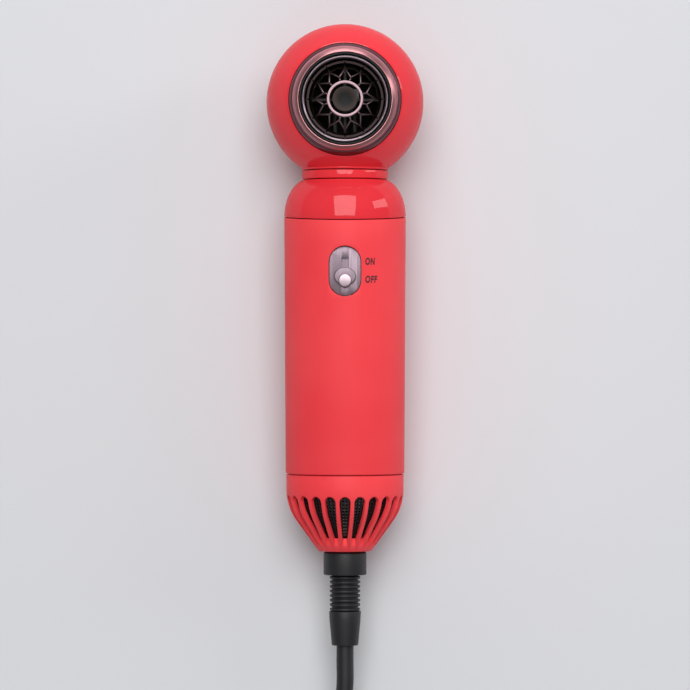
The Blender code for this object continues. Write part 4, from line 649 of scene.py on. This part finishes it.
def ball_inside(middle, normal):
    """True for the inner side of the ball."""
    return middle.length < BALL_RADIUS - SHELL_WALL / 2


head_front = inside_of(ball_shell(asin(OUTLET_OPENING / BALL_RADIUS), front_edge), ball_inside)
finished("head_front", head_front, outlet, polished_red, "red_lacquer", "head_front_shell", inside=bare_abs)

# %% Rear shell and the heater's posts
POST_RADIUS = 0.0024
POST_CIRCLE = 0.0195
POST_COUNT = 3
POST_FACE = -0.0129
SCREW_BORE = 0.0012
SCREW_DEPTH = 0.0053


def post_rods(radius, low, high):
    """One rod for each screw of the heater."""
    rods = bmesh.new()
    for index in range(POST_COUNT):
        angle = pi / 2 + index * 2 * pi / POST_COUNT
        spot = Vector((POST_CIRCLE * cos(angle), POST_CIRCLE * sin(angle), (low + high) / 2))
        added(rods, rod(radius, high - low, Matrix.Translation(spot), 32))
    return rods


core = bmesh.new()
bmesh.ops.create_uvsphere(core, u_segments=96, v_segments=48, radius=BALL_RADIUS - SHELL_WALL / 2)
posts = carved(post_rods(POST_RADIUS, -BALL_RADIUS, POST_FACE), core, "INTERSECT")
posts = carved(posts, post_rods(SCREW_BORE, POST_FACE - SCREW_DEPTH, BALL_RADIUS))
head_rear = inside_of(carved(ball_shell(rear_edge, pi), posts, "UNION"), ball_inside)
finished("head_rear", head_rear, outlet, polished_red, "red_lacquer", "head_rear_shell", inside=bare_abs)

# %% [markdown]
# ## Neck band
# A narrow band closes the joint between head and shoulder.  It is a little convex, so its highlight
# becomes a small spot; a flat band would mirror the lamps as a plain stripe.

# %% Neck band
NECK_BORE = 0.0153
BAND_LOW = 0.1514
BAND_HIGH = 0.1548
BAND_CROWN = 0.00022


def band_point(share):
    """A point of the band's outside, from -1 at its lower edge to 1 at its upper edge."""
    height = (BAND_LOW + BAND_HIGH) / 2 + share * (BAND_HIGH - BAND_LOW) / 2
    return NECK_RADIUS - BAND_CROWN * share * share, height


crown = [band_point(step / 5 - 1) for step in range(11)]
band = spun([(NECK_BORE, BAND_LOW), *crown, (NECK_BORE, BAND_HIGH)], 144)
finished("neck_band", round_edges(band, 0.00025), upright, polished_red, "red_lacquer", "neck_ring")

# %% [markdown]
# ## Shoulder and handle
# The shoulder is a dome on a tilted seam that dips towards the front.  Both parts are spun as if
# the seam were level; a slanted plane trims them, and the two open rings of the cut are bridged into
# a clean end face, whose edge gets a small round that glints.

# %% Tilted seam and shoulder
TAIL_HEIGHT = 0.0311
HANDLE_LENGTH = 0.1051
HANDLE_TOP = 0.0248
HANDLE_BOTTOM = 0.0242
HANDLE_BORE = 0.0222
SEAM_GAP = 0.0004
SEAM_HEIGHT = TAIL_HEIGHT + HANDLE_LENGTH
SEAM_TILT = radians(4.4)
SEAM_SPARE = 0.0050
SHOULDER_TOP = 0.1510
SHOULDER_MIDDLE = 0.0145
SHOULDER_RISE = 0.0155
SHOULDER_SHELF = 0.0024


def trimmed_at_seam(made, offset, keep_above):
    """Cuts a tube on the tilted seam and closes the cut between its two rings."""
    facing = Vector((0.0, -sin(SEAM_TILT), cos(SEAM_TILT)))
    cut = sliced(made, (0, 0, SEAM_HEIGHT + offset), facing, dist=1e-6, clear_inner=keep_above,
                 clear_outer=not keep_above)
    bmesh.ops.bridge_loops(made, edges=only(cut["geom_cut"], bmesh.types.BMEdge))
    bmesh.ops.recalc_face_normals(made, faces=made.faces)
    return made


def shoulder_curve(inset, top, steps):
    """The shoulder's quarter ellipse at an inset, from the seam up to a height."""
    half_width = HANDLE_TOP - SHOULDER_MIDDLE - inset
    half_height = SHOULDER_RISE - inset
    end = asin((top - SEAM_HEIGHT) / half_height)
    return [(SHOULDER_MIDDLE + half_width * cos(end * step / steps),
             SEAM_HEIGHT + half_height * sin(end * step / steps)) for step in range(steps + 1)]


def bore_side(middle, normal):
    """True for faces that look towards the handle's axis."""
    return normal.x * middle.x + normal.y * middle.y < -0.5 * hypot(middle.x, middle.y)


shelf = SHOULDER_TOP - SHOULDER_SHELF
skirt = SEAM_HEIGHT - SEAM_SPARE
dome = spun([(HANDLE_BORE, skirt), (HANDLE_TOP, skirt), *shoulder_curve(0.0, SHOULDER_TOP, 28),
             (NECK_BORE, SHOULDER_TOP), (NECK_BORE, shelf),
             *shoulder_curve(HANDLE_TOP - HANDLE_BORE, shelf, 20)[::-1]], 160)
dome = inside_of(round_edges(trimmed_at_seam(dome, SEAM_GAP / 2, True), 0.00035), bore_side)
finished("shoulder_dome", dome, upright, polished_red, "red_lacquer", "shoulder_cap", inside=bare_abs)

# %% [markdown]
# ## Switch opening
# The opening is a stadium: a circle whose upper half is moved up.  The same helper makes the cutter
# and, a little smaller, the steel plate.  Four cuts frame the opening first, so the long faces of
# the handle keep their smooth shading.

# %% Handle with its opening
SWITCH_HEIGHT = 0.1136
PLATE_WIDTH = 0.0125
PLATE_HEIGHT = 0.0198
PLATE_CLEARANCE = 0.0003
OPENING_FRAME = 0.0009


def handle_radius(height):
    """Outer radius of the slightly tapered handle."""
    return HANDLE_BOTTOM + (HANDLE_TOP - HANDLE_BOTTOM) * (height - TAIL_HEIGHT) / HANDLE_LENGTH


def stadium(width, height, middle, near, far, segments):
    """A rounded bar that faces the front, between two distances from the handle's axis."""
    made = bmesh.new()
    bmesh.ops.create_circle(made, cap_ends=True, segments=segments, radius=width / 2)
    for vert in made.verts:
        if abs(vert.co.y) > SAME_POINT:
            vert.co.y += copysign((height - width) / 2, vert.co.y)
    raised = bmesh.ops.extrude_face_region(made, geom=made.faces[:])["geom"]
    bmesh.ops.translate(made, vec=(0, 0, far - near), verts=only(raised, bmesh.types.BMVert))
    bmesh.ops.recalc_face_normals(made, faces=made.faces)
    stand = Matrix.Translation((0, -near, middle)) @ Matrix.Rotation(pi / 2, 4, "X")
    bmesh.ops.transform(made, matrix=stand, verts=made.verts)
    return made


tube_low = TAIL_HEIGHT + SEAM_GAP
tube = spun([(HANDLE_BORE, tube_low), (handle_radius(tube_low), tube_low), (HANDLE_TOP, SEAM_HEIGHT),
             (HANDLE_TOP, SEAM_HEIGHT + SEAM_SPARE), (HANDLE_BORE, SEAM_HEIGHT + SEAM_SPARE)], 192)
tube = trimmed_at_seam(tube, -SEAM_GAP / 2, False)
opening = stadium(PLATE_WIDTH + 2 * PLATE_CLEARANCE, PLATE_HEIGHT + 2 * PLATE_CLEARANCE, SWITCH_HEIGHT,
                  HANDLE_BORE / 2, HANDLE_TOP * 1.2, 64)
for side in (-1, 1):
    sliced(tube, (0, 0, SWITCH_HEIGHT + side * (PLATE_HEIGHT / 2 + OPENING_FRAME)), (0, 0, 1))
for side in (-1, 1):
    sliced(tube, (side * (PLATE_WIDTH / 2 + OPENING_FRAME), 0, 0), (1, 0, 0))
ends = [edge for edge in sharp_edges(tube, 50)
        if min(hypot(vert.co.x, vert.co.y) for vert in edge.verts) > HANDLE_BOTTOM - 0.0001]
handle = round_edges(carved(bevelled(tube, ends, 0.0005, 3), opening), 0.00018, 45, 2)
handle = inside_of(handle, bore_side)
finished("handle_shell", handle, upright, satin_red, "red_lacquer", "handle_tube", inside=bare_abs)

# %% [markdown]
# ## Switch plate
# The plate is stamped: a shallow scoop runs along it, so a thumb finds the button.  Fine cuts give
# it something to bend, and each point moves back by a parabola across the width.  The slot for the
# button's stem is closed from behind by a strip that is one of the frame's own solids.

# %% Switch plate
PLATE_FRONT = handle_radius(SWITCH_HEIGHT) - 0.0013
PLATE_THICKNESS = 0.0012
PLATE_SCOOP = 0.0003
PLATE_STRIPS = 24
SLOT_WIDTH = 0.0030
SLOT_LENGTH = 0.0105
plate = stadium(PLATE_WIDTH, PLATE_HEIGHT, SWITCH_HEIGHT, PLATE_FRONT - PLATE_THICKNESS, PLATE_FRONT, 96)
slot_middle = Matrix.Translation((0, -PLATE_FRONT, SWITCH_HEIGHT))
plate = carved(plate, block(SLOT_WIDTH, 0.01, SLOT_LENGTH, slot_middle))
for cut in range(1, PLATE_STRIPS):
    sliced(plate, ((cut / PLATE_STRIPS - 0.5) * PLATE_WIDTH, 0, 0), (1, 0, 0))
plate = round_edges(plate, 0.00015, 60, 2)
for vert in plate.verts:
    across = 2 * vert.co.x / PLATE_WIDTH
    if vert.co.y < -PLATE_FRONT + PLATE_THICKNESS / 2:
        vert.co.y += PLATE_SCOOP * (1 - across * across)
finished("switch_face", plate, upright, brushed_steel, "brushed_plate", "switch_plate", smooth_below=50)

# %% [markdown]
# ## Slide button
# A round pad sits on a thinner oval wing, and a square stem goes through the slot.  The button
# rides on the switch's body, so the joint slides it.

# %% Slide button
BUTTON_RADIUS = 0.0027
BUTTON_HEIGHT = 0.0019
BUTTON_AT = SWITCH_HEIGHT - 0.00375
WING_WIDTH = 0.0088
WING_HEIGHT = 0.0072
WING_RISE = 0.00165
WING_THICKNESS = 0.0009
WING_BACK = PLATE_FRONT + 0.0003
STEM_SIDE = 0.0024
STEM_BACK = 0.0186
wing = stadium(WING_HEIGHT, WING_HEIGHT, 0.0, WING_BACK, WING_BACK + WING_THICKNESS, 72)
bmesh.ops.scale(wing, vec=(WING_WIDTH / WING_HEIGHT, 1, 1), verts=wing.verts)
bmesh.ops.translate(wing, vec=(0, 0, BUTTON_AT + WING_RISE), verts=wing.verts)
pad = stadium(2 * BUTTON_RADIUS, 2 * BUTTON_RADIUS, BUTTON_AT, WING_BACK + WING_THICKNESS / 2,
              WING_BACK + BUTTON_HEIGHT, 64)
stem = block(STEM_SIDE, WING_BACK - STEM_BACK + WING_THICKNESS, STEM_SIDE,
             Matrix.Translation((0, -(WING_BACK + STEM_BACK) / 2, BUTTON_AT)))
button = carved(round_edges(wing, 0.00035, 50, 4), round_edges(pad, 0.00045, 50, 5), "UNION")
button = inside_of(carved(button, stem, "UNION"),
                   lambda middle, normal: middle.y > -WING_BACK - WING_THICKNESS - 0.00002)
finished("slide_button", button, upright, bright_plating, "bright_metal", "switch_slider",
         body="switch", inside=brushed_steel)

# %% [markdown]
# ## ON and OFF
# The words are printed on the curved handle.  Flat text becomes a mesh, is cut into narrow strips
# so it can bend, and is laid round the handle some hundredths of a millimetre above the lacquer.

# %% Lettering
LETTER_HEIGHT = 0.00295
LETTER_LEFT = 0.0083
LETTER_SHEAR = 0.12
LETTER_WEIGHT = 0.040
LETTER_SPACING = 1.14
LETTER_STRIPS = 14
INK_THICKNESS = 0.00002
INK_LIFT = 0.00004


def printed_word(word, width, middle):
    """A word of a given width, wrapped onto the front of the handle."""
    flat = bpy.data.curves.new(word, "FONT")
    flat.body = word
    flat.shear = LETTER_SHEAR
    flat.offset = LETTER_WEIGHT
    flat.space_character = LETTER_SPACING
    holder = in_scene(word, flat)
    mesh = bpy.data.meshes.new_from_object(holder.evaluated_get(bpy.context.evaluated_depsgraph_get()))
    ink = bmesh.new()
    ink.from_mesh(mesh)
    bpy.data.objects.remove(holder)
    bpy.data.meshes.remove(mesh)
    lows = [min(vert.co[axis] for vert in ink.verts) for axis in (0, 1)]
    spans = [max(vert.co[axis] for vert in ink.verts) - lows[axis] for axis in (0, 1)]
    bmesh.ops.translate(ink, vec=(-lows[0], -lows[1] - spans[1] / 2, 0), verts=ink.verts)
    bmesh.ops.scale(ink, vec=(width / spans[0], LETTER_HEIGHT / spans[1], 1), verts=ink.verts)
    for cut in range(1, LETTER_STRIPS):
        sliced(ink, (width * cut / LETTER_STRIPS, 0, 0), (1, 0, 0))
    bmesh.ops.solidify(ink, geom=ink.faces, thickness=INK_THICKNESS)
    for vert in ink.verts:
        radius = handle_radius(middle) + INK_LIFT + vert.co.z
        angle = (LETTER_LEFT + vert.co.x) / radius
        vert.co = Vector((radius * sin(angle), -radius * cos(angle), middle + vert.co.y))
    return finished(f"word_{word.lower()}", ink, upright, lettering_ink, "black_plastic")


printed_word("ON", 0.0043, 0.1175)
printed_word("OFF", 0.0054, 0.1103)

# %% [markdown]
# ## Outlet collar and rim
# The collar has an outer band and an open groove, painted darker as shade, and a bright land that
# slants inwards; the black rim is the front of the barrel that carries the heater.  All are turned
# parts, spun with many steps, because a mirror finish shows every facet.

# %% Collar
COLLAR_BORE = 0.0188
COLLAR_SEAT = 0.0199
COLLAR_STEP = 0.022511
COLLAR_BASE = 0.0225
COLLAR_FRONT = 0.0283
COLLAR_BASE_HEIGHT = 0.022754
GROOVE_FLOOR = 0.0205
GROOVE_LOW = 0.02511
GROOVE_HIGH = 0.02561
FLANGE_RADIUS = 0.0251
FLANGE_LOW = 0.01302
FLANGE_HIGH = 0.01492
NECK_SPACE = 0.02242
LAND_LOW = GROOVE_HIGH + 0.0002
LAND_FRONT = COLLAR_FRONT - 0.0003
LAND_RISE = 0.00009
LAND_STEPS = 10


def bulged(start, end):
    """Points between two points, raised in the middle as a shallow arc."""
    run = Vector(end) - Vector(start)
    side = Vector((run.y, -run.x)).normalized()
    return [tuple(Vector(start) + run * share + side * LAND_RISE * 4 * share * (1 - share))
            for share in [step / LAND_STEPS for step in range(LAND_STEPS + 1)]]


collar = spun([(COLLAR_SEAT, FLANGE_LOW), (FLANGE_RADIUS, FLANGE_LOW), (FLANGE_RADIUS, FLANGE_HIGH),
               (COLLAR_BASE, FLANGE_HIGH), (COLLAR_BASE, COLLAR_BASE_HEIGHT),
               *bulged((0.0223, COLLAR_BASE_HEIGHT + 0.0009), (0.0212, GROOVE_LOW)),
               (GROOVE_FLOOR, GROOVE_LOW), (GROOVE_FLOOR, GROOVE_HIGH), (0.0208, GROOVE_HIGH),
               *bulged((0.0207, GROOVE_HIGH + 0.0007), (0.0190, LAND_FRONT)),
               (COLLAR_BORE, LAND_FRONT), (COLLAR_BORE, COLLAR_STEP), (COLLAR_SEAT, COLLAR_STEP)], 192)
sliced(collar, (0, -NECK_SPACE, 0), (0, -1, 0), clear_outer=True)
bmesh.ops.holes_fill(collar, edges=[edge for edge in collar.edges if edge.is_boundary])
# The outer band and the groove take the darker copy of the plating: painted shade.
collar = inside_of(round_edges(collar, 0.00012, 40, 2), lambda middle, normal: middle.z < LAND_LOW)
finished("outlet_collar", collar, outlet, rose_bronze, "rose_bronze", "nozzle_collar", inside=collar_band_painted_shade)

# %% Rim, barrel and bezel
RIM_RADIUS = 0.0185
RIM_BORE = 0.0178
BARREL_BORE = 0.0162
BARREL_BACK = 0.0158
BEZEL_SEAT = 0.0236
BEZEL_RADIUS = 0.0175
BEZEL_BACK = 0.0239
rim = spun([(BARREL_BORE, BARREL_BACK), (RIM_RADIUS, BARREL_BACK), (RIM_RADIUS, COLLAR_FRONT),
            (RIM_BORE, COLLAR_FRONT), (RIM_BORE, BEZEL_SEAT), (BARREL_BORE, BEZEL_SEAT)], 160)
finished("outlet_rim_ring", round_edges(rim, 0.0002), outlet, black_nylon, "black_plastic", "nozzle_rim")
bezel = spun([(BARREL_BORE, BEZEL_BACK), (BEZEL_RADIUS, BEZEL_BACK), (BEZEL_RADIUS, 0.0274),
              *arc_points(0.0173, 0.0268, 0.0011, radians(106), radians(150), 10),
              (BARREL_BORE, 0.0270)], 192)
finished("outlet_bezel", round_edges(bezel, 0.00012), outlet, bright_plating, "bright_metal", "bezel_ring")

# %% [markdown]
# ## Petal grille
# Twelve struts leave the eye ring, fork, and meet their neighbours in petal tips, from where a rib
# goes out to the outer ring.  The casting is dished, so every rib climbs towards the eye.

# %% Petal grille
GRILLE_RADIUS = 0.0159
GRILLE_RING = 0.0146
EYE_OUTER = 0.00742
EYE_INNER = 0.00615
GRILLE_FACE = 0.0220
GRILLE_THICKNESS = 0.0018
GRILLE_DISH = 0.0040
PETALS = 12
PETAL_TURN = 2 * pi / PETALS
NOTCH_SIZE = (0.0040, 0.0005, 0.0012)
FORK_RADIUS = 0.0089
TIP_RADIUS = 0.0124
RIB_WIDTH = 0.0007
RIB_OVERLAP = RIB_WIDTH * 0.8


def on_dish(radius, angle):
    """The middle of a rib at a radius and an angle."""
    climb = GRILLE_DISH * (GRILLE_RING - radius) / (GRILLE_RING - EYE_OUTER)
    return Vector((radius * cos(angle), radius * sin(angle), GRILLE_FACE - GRILLE_THICKNESS / 2 + climb))


def rib(start, end):
    """A bar with rounded edges between two points."""
    run = end - start
    forward = run.normalized()
    side = Vector((0, 0, 1)).cross(forward).normalized()
    return round_edges(block(run.length + RIB_OVERLAP, RIB_WIDTH, GRILLE_THICKNESS,
                             frame_of(forward, side, forward.cross(side), (start + end) / 2)), 0.00022)


low = GRILLE_FACE - GRILLE_THICKNESS
grille = spun([(GRILLE_RING, low), (GRILLE_RADIUS, low), (GRILLE_RADIUS, GRILLE_FACE - 0.0003),
               (GRILLE_RADIUS - 0.0004, GRILLE_FACE), (GRILLE_RING, GRILLE_FACE)], 144)
notches = bmesh.new()
for index in range(PETALS):
    turn = Matrix.Rotation(index * PETAL_TURN, 4, "Z")
    added(notches, block(*NOTCH_SIZE, turn @ Matrix.Translation((GRILLE_RADIUS, 0, GRILLE_FACE))))
grille = carved(grille, notches)
eye = spun([(EYE_INNER, low + GRILLE_DISH), (EYE_OUTER, low + GRILLE_DISH),
            (EYE_OUTER, GRILLE_FACE + GRILLE_DISH), (EYE_INNER, GRILLE_FACE + GRILLE_DISH)], 96)
added(grille, round_edges(eye, 0.00025, 50, 4))
for index in range(PETALS):
    tip = index * PETAL_TURN
    split = on_dish(FORK_RADIUS, tip + PETAL_TURN / 2)
    added(grille, rib(on_dish(EYE_OUTER, tip + PETAL_TURN / 2), split))
    added(grille, rib(split, on_dish(TIP_RADIUS, tip)))
    added(grille, rib(split, on_dish(TIP_RADIUS, tip + PETAL_TURN)))
    added(grille, rib(on_dish(TIP_RADIUS, tip), on_dish(GRILLE_RING, tip)))
finished("petal_grille", grille, outlet, grille_plating_painted_shade, "rose_bronze", "outlet_grille")

# %% [markdown]
# ## Hub
# The disc in the grille's eye is dished like a coin.  Its outline starts and ends on the axis, so
# the spin closes both poles.

# %% Hub
HUB_RADIUS = 0.0051
HUB_FACE = 0.0256
HUB_THICKNESS = 0.0018
HUB_DISH = 0.0007
DISH_RADIUS = HUB_RADIUS - 0.0006
HUB_STEM = 0.0020
STEM_FOOT = 0.0182
hub = spun([(0.0, STEM_FOOT), (HUB_STEM, STEM_FOOT), (HUB_STEM, HUB_FACE - HUB_THICKNESS),
            (HUB_RADIUS, HUB_FACE - HUB_THICKNESS), (HUB_RADIUS, HUB_FACE),
            *[(DISH_RADIUS - DISH_RADIUS * step / 10, HUB_FACE - HUB_DISH * sin(pi / 2 * step / 10))
              for step in range(11)]], 96, closed=False)
finished("grille_eye_disc", round_edges(hub, 0.0002), outlet, hub_enamel, "black_plastic", "grille_hub")

# %% [markdown]
# ## Tail with its slots
# The tail is a bowl with twenty-four slots between ribs of even width, so a slot is a wedge that
# widens outwards; its top is round.  At its foot stands a small upright face that catches the
# light, because the core for the slots stops on a ring, which is welded in.

# %% Tail outline and wedges
TAIL_RIM = 0.0239
TAIL_RIM_HEIGHT = 0.0064
TAIL_ARC = 0.0209
TAIL_END = 0.0109
TAIL_WALL = 0.0020
RELIEF_HOLE = 0.0069
SLOTS = 24
SLOT_LOW = 0.0025
SLOT_HIGH = 0.0227
SLOT_CROWN = 0.96
TAIL_RIB = 0.00155
WEDGE_START = 0.0066
WEDGE_END = TAIL_RIM * 1.2
arc_x = TAIL_RIM - TAIL_ARC
arc_z = TAIL_HEIGHT - TAIL_RIM_HEIGHT
cone_angle = atan2(arc_z, TAIL_END - arc_x) - (pi / 2 - asin(TAIL_ARC / hypot(TAIL_END - arc_x, arc_z)))


def tail_curve(inset, top, foot, steps=14):
    """The tail's side at an inset: straight rim, arc, and cone down to a height."""
    radius = TAIL_ARC - inset
    end = arc_x + (radius - (arc_z - foot) * sin(cone_angle)) / cos(cone_angle)
    return [(arc_x + radius, top), *arc_points(arc_x, arc_z, radius, 0, -cone_angle, steps), (end, foot)]


def slot_half_width(radius):
    """Half of a slot at a radius, between ribs of even width."""
    return max(radius * tan(pi / SLOTS) - TAIL_RIB / 2 / cos(pi / SLOTS), 0.0001)


widest = slot_half_width(TAIL_RIM)
wedges = block(2 * widest, WEDGE_END - WEDGE_START, SLOT_HIGH - SLOT_LOW,
               Matrix.Translation((0, -WEDGE_END / 2 - WEDGE_START / 2, (SLOT_LOW + SLOT_HIGH) / 2)))
crown = [edge for edge in wedges.edges if all(vert.co.z > SLOT_HIGH - 1e-6 for vert in edge.verts)
         and abs(edge.verts[0].co.x - edge.verts[1].co.x) < 1e-6]
bevelled(wedges, crown, widest * SLOT_CROWN, 8)
for vert in wedges.verts:
    vert.co.x *= slot_half_width(-vert.co.y) / widest
bmesh.ops.spin(wedges, geom=[*wedges.verts, *wedges.edges, *wedges.faces], cent=(0, 0, 0), axis=(0, 0, 1),
               angle=2 * pi * (SLOTS - 1) / SLOTS, steps=SLOTS - 1, use_duplicate=True)
print("cone angle:", round(cone_angle * 180 / pi, 2), "wedge faces:", len(wedges.faces))

# %% Tail
SPIGOT_RADIUS = 0.0219
SPIGOT_BORE = 0.0204
SPIGOT_TOP = 0.0381
bowl = spun([(SPIGOT_RADIUS, TAIL_HEIGHT), *tail_curve(0.0, TAIL_HEIGHT, 0.0), (RELIEF_HOLE, 0.0),
             (RELIEF_HOLE, TAIL_WALL), *tail_curve(TAIL_WALL, TAIL_HEIGHT - 0.0015, TAIL_WALL)[::-1],
             (SPIGOT_BORE, TAIL_HEIGHT), (SPIGOT_BORE, SPIGOT_TOP), (SPIGOT_RADIUS, SPIGOT_TOP)], 144)
foot_ring = spun([(0.0089, 0.0005), (0.0111, 0.0005), (0.0126, 0.0026), (0.01262, 0.0056), (0.01254, 0.0056)],
                 144)
bowl = carved(carved(bowl, wedges), foot_ring, "UNION")
bmesh.ops.remove_doubles(bowl, verts=bowl.verts, dist=0.00002)
bowl = inside_of(bevelled(bowl, sharp_edges(bowl, 50), 0.00018, 2), bore_side)
finished("intake_bowl", bowl, upright, satin_red, "red_lacquer", "intake_cap", inside=bare_abs)

# %% [markdown]
# ## Intake screen
# A perforated screen behind the slots keeps hair out.  It is the tail's own curve, set in and spun
# into a net of small squares.  Each square is inset and its middle removed, which leaves a hole.

# %% Intake screen
SCREEN_INSET = 0.0023
SCREEN_TOP = 0.0259
SCREEN_FOOT = 0.0024
SCREEN_THICKNESS = 0.0005
SCREEN_STEPS = 96
CONE_ROWS = 9
WIRE_WIDTH = 0.00024
side = tail_curve(SCREEN_INSET, SCREEN_TOP, SCREEN_FOOT, 8)
cone_top, cone_foot = Vector(side[-2]), Vector(side[-1])
side[-1:] = [tuple(cone_top.lerp(cone_foot, row / CONE_ROWS)) for row in range(1, CONE_ROWS + 1)]
screen = spun(side, SCREEN_STEPS, closed=False)
holes = screen.faces[:]
bmesh.ops.inset_individual(screen, faces=holes, thickness=WIRE_WIDTH, use_even_offset=True)
bmesh.ops.delete(screen, geom=holes, context="FACES")
screen = walled(screen, SCREEN_THICKNESS)
finished("intake_screen", screen, upright, black_mesh, "filter_mesh", "intake_filter")

# %% [markdown]
# ## Strain relief
# A soft sleeve keeps the lead from kinking where it leaves the tail: a plain collar, eight ribs,
# and a tapered end, all one turned outline, with a flange that holds it inside the tail.

# %% Strain relief
FLANGE_FOOT = TAIL_WALL + 0.0003
FLANGE_TOP = FLANGE_FOOT + 0.0016
SLEEVE_RADIUS = 0.00875
SLEEVE_END = -0.0097
RIB_COUNT = 8
RIB_PITCH = 0.00185
RIB_RADIUS = 0.0062
RIB_CORE = 0.0053
relief = [(0.0, FLANGE_TOP), (0.0076, FLANGE_TOP), (0.0076, FLANGE_FOOT), (0.0066, FLANGE_FOOT),
          (0.0066, -0.0003), (SLEEVE_RADIUS - 0.0006, -0.0003), (SLEEVE_RADIUS, -0.0009),
          (SLEEVE_RADIUS, SLEEVE_END)]
for index in range(RIB_COUNT):
    start = SLEEVE_END - index * RIB_PITCH
    relief += [(RIB_CORE, start - 0.0001), (RIB_CORE, start - 0.0005), (RIB_RADIUS, start - 0.0008),
               (RIB_RADIUS, start - 0.0016)]
ribs_end = SLEEVE_END - RIB_COUNT * RIB_PITCH
relief += [(RIB_CORE, ribs_end), (0.0065, ribs_end - 0.0002), (0.0063, ribs_end - 0.0040),
           (0.0054, -RELIEF_LENGTH), (0.0, -RELIEF_LENGTH)]
boot = round_edges(spun(relief, 96, closed=False), 0.00018, 40, 2)
finished("lead_boot", boot, upright, soft_pvc, "black_rubber", "strain_relief")

# %% [markdown]
# ## Materials for the frame's own solids
# Everything inside stays as the frame made it, and each solid gets the material of its slot.

# %% Materials for the frame's own solids
slot_materials = {
    "red_lacquer": polished_red, "rose_bronze": rose_bronze, "bright_metal": bright_plating,
    "brushed_plate": brushed_steel, "black_plastic": black_nylon, "black_rubber": soft_pvc,
    "filter_mesh": black_mesh, "plated_blades": plated_brass, "tie_plastic": grey_tie, **inner_materials}
for row in frame["record"]["subparts"]:
    for held in frame["nodes"][row["node"]].material_slots:
        held.material = slot_materials[row["material_slot"]]

# %% [markdown]
# ## Floor
# A wide pale floor lies under the part and takes its shadow.  It is stage, not object.

# %% Floor
FLOOR_REACH = 6.0
# Matt paint: a pale grey that takes a soft shadow and mirrors next to nothing.
floor_paint = new_material("pale_matt_floor", "DADBDF", 0.90, grain=(room, 20, 0.050, 0.04),
                           specular_ior_level=0.2)
floor_shape = bmesh.new()
bmesh.ops.create_grid(floor_shape, x_segments=2, y_segments=2, size=FLOOR_REACH)
floor = in_scene("floor", mesh_of(floor_shape, "floor"))
floor.data.materials.append(floor_paint)
print("floor laid")

# %% [markdown]
# ## Light
# A large soft box in front, a little above, lights all that faces the camera, with a weak fill from
# the tail's side.  Low panels at the right and beyond the head brighten the collar's edge.  A lamp
# gives its brightness times pi times its area as power, so the brightness is what is chosen here.

# %% Light
LIT = Vector((0.0, 0.020, 0.030))
WORLD_BRIGHTNESS = 0.20


def area_lamp(name, sideways, upward, distance, width, height, brightness):
    """A rectangular lamp in a direction given by two angles from the camera's axis."""
    lean = Vector((tan(radians(sideways)), tan(radians(upward)), 1.0)).normalized()
    toward = (right * lean.x + along * lean.y + outward * lean.z).normalized()
    level = along.cross(toward).normalized()
    data = bpy.data.lights.new(name, "AREA")
    data.shape = "RECTANGLE"
    data.size = width
    data.size_y = height
    data.energy = brightness * pi * width * height
    lamp = in_scene(name, data)
    lamp.matrix_world = frame_of(level, toward.cross(level), toward, LIT + distance * toward)
    lamp.visible_camera = False
    print(name, "at", [round(v, 2) for v in lamp.location], "power", round(data.energy, 1), "W")


area_lamp("front_soft_box", 0, 23, 1.60, 1.15, 1.30, 4.45)
area_lamp("tail_side_fill", 0, -38, 1.60, 1.60, 0.80, 0.7)
area_lamp("low_right_panel", 79.2, 64.8, 3.00, 2.20, 0.72, 4.0)
area_lamp("low_top_panel", 0, 80, 3.00, 2.40, 0.72, 5.0)
world = bpy.data.worlds.new("studio")
world.use_nodes = True
world.node_tree.nodes["Background"].inputs["Color"].default_value = linear("FFFFFF")
world.node_tree.nodes["Background"].inputs["Strength"].default_value = WORLD_BRIGHTNESS
bpy.context.scene.world = world
bpy.context.scene.view_settings.view_transform = "Standard"
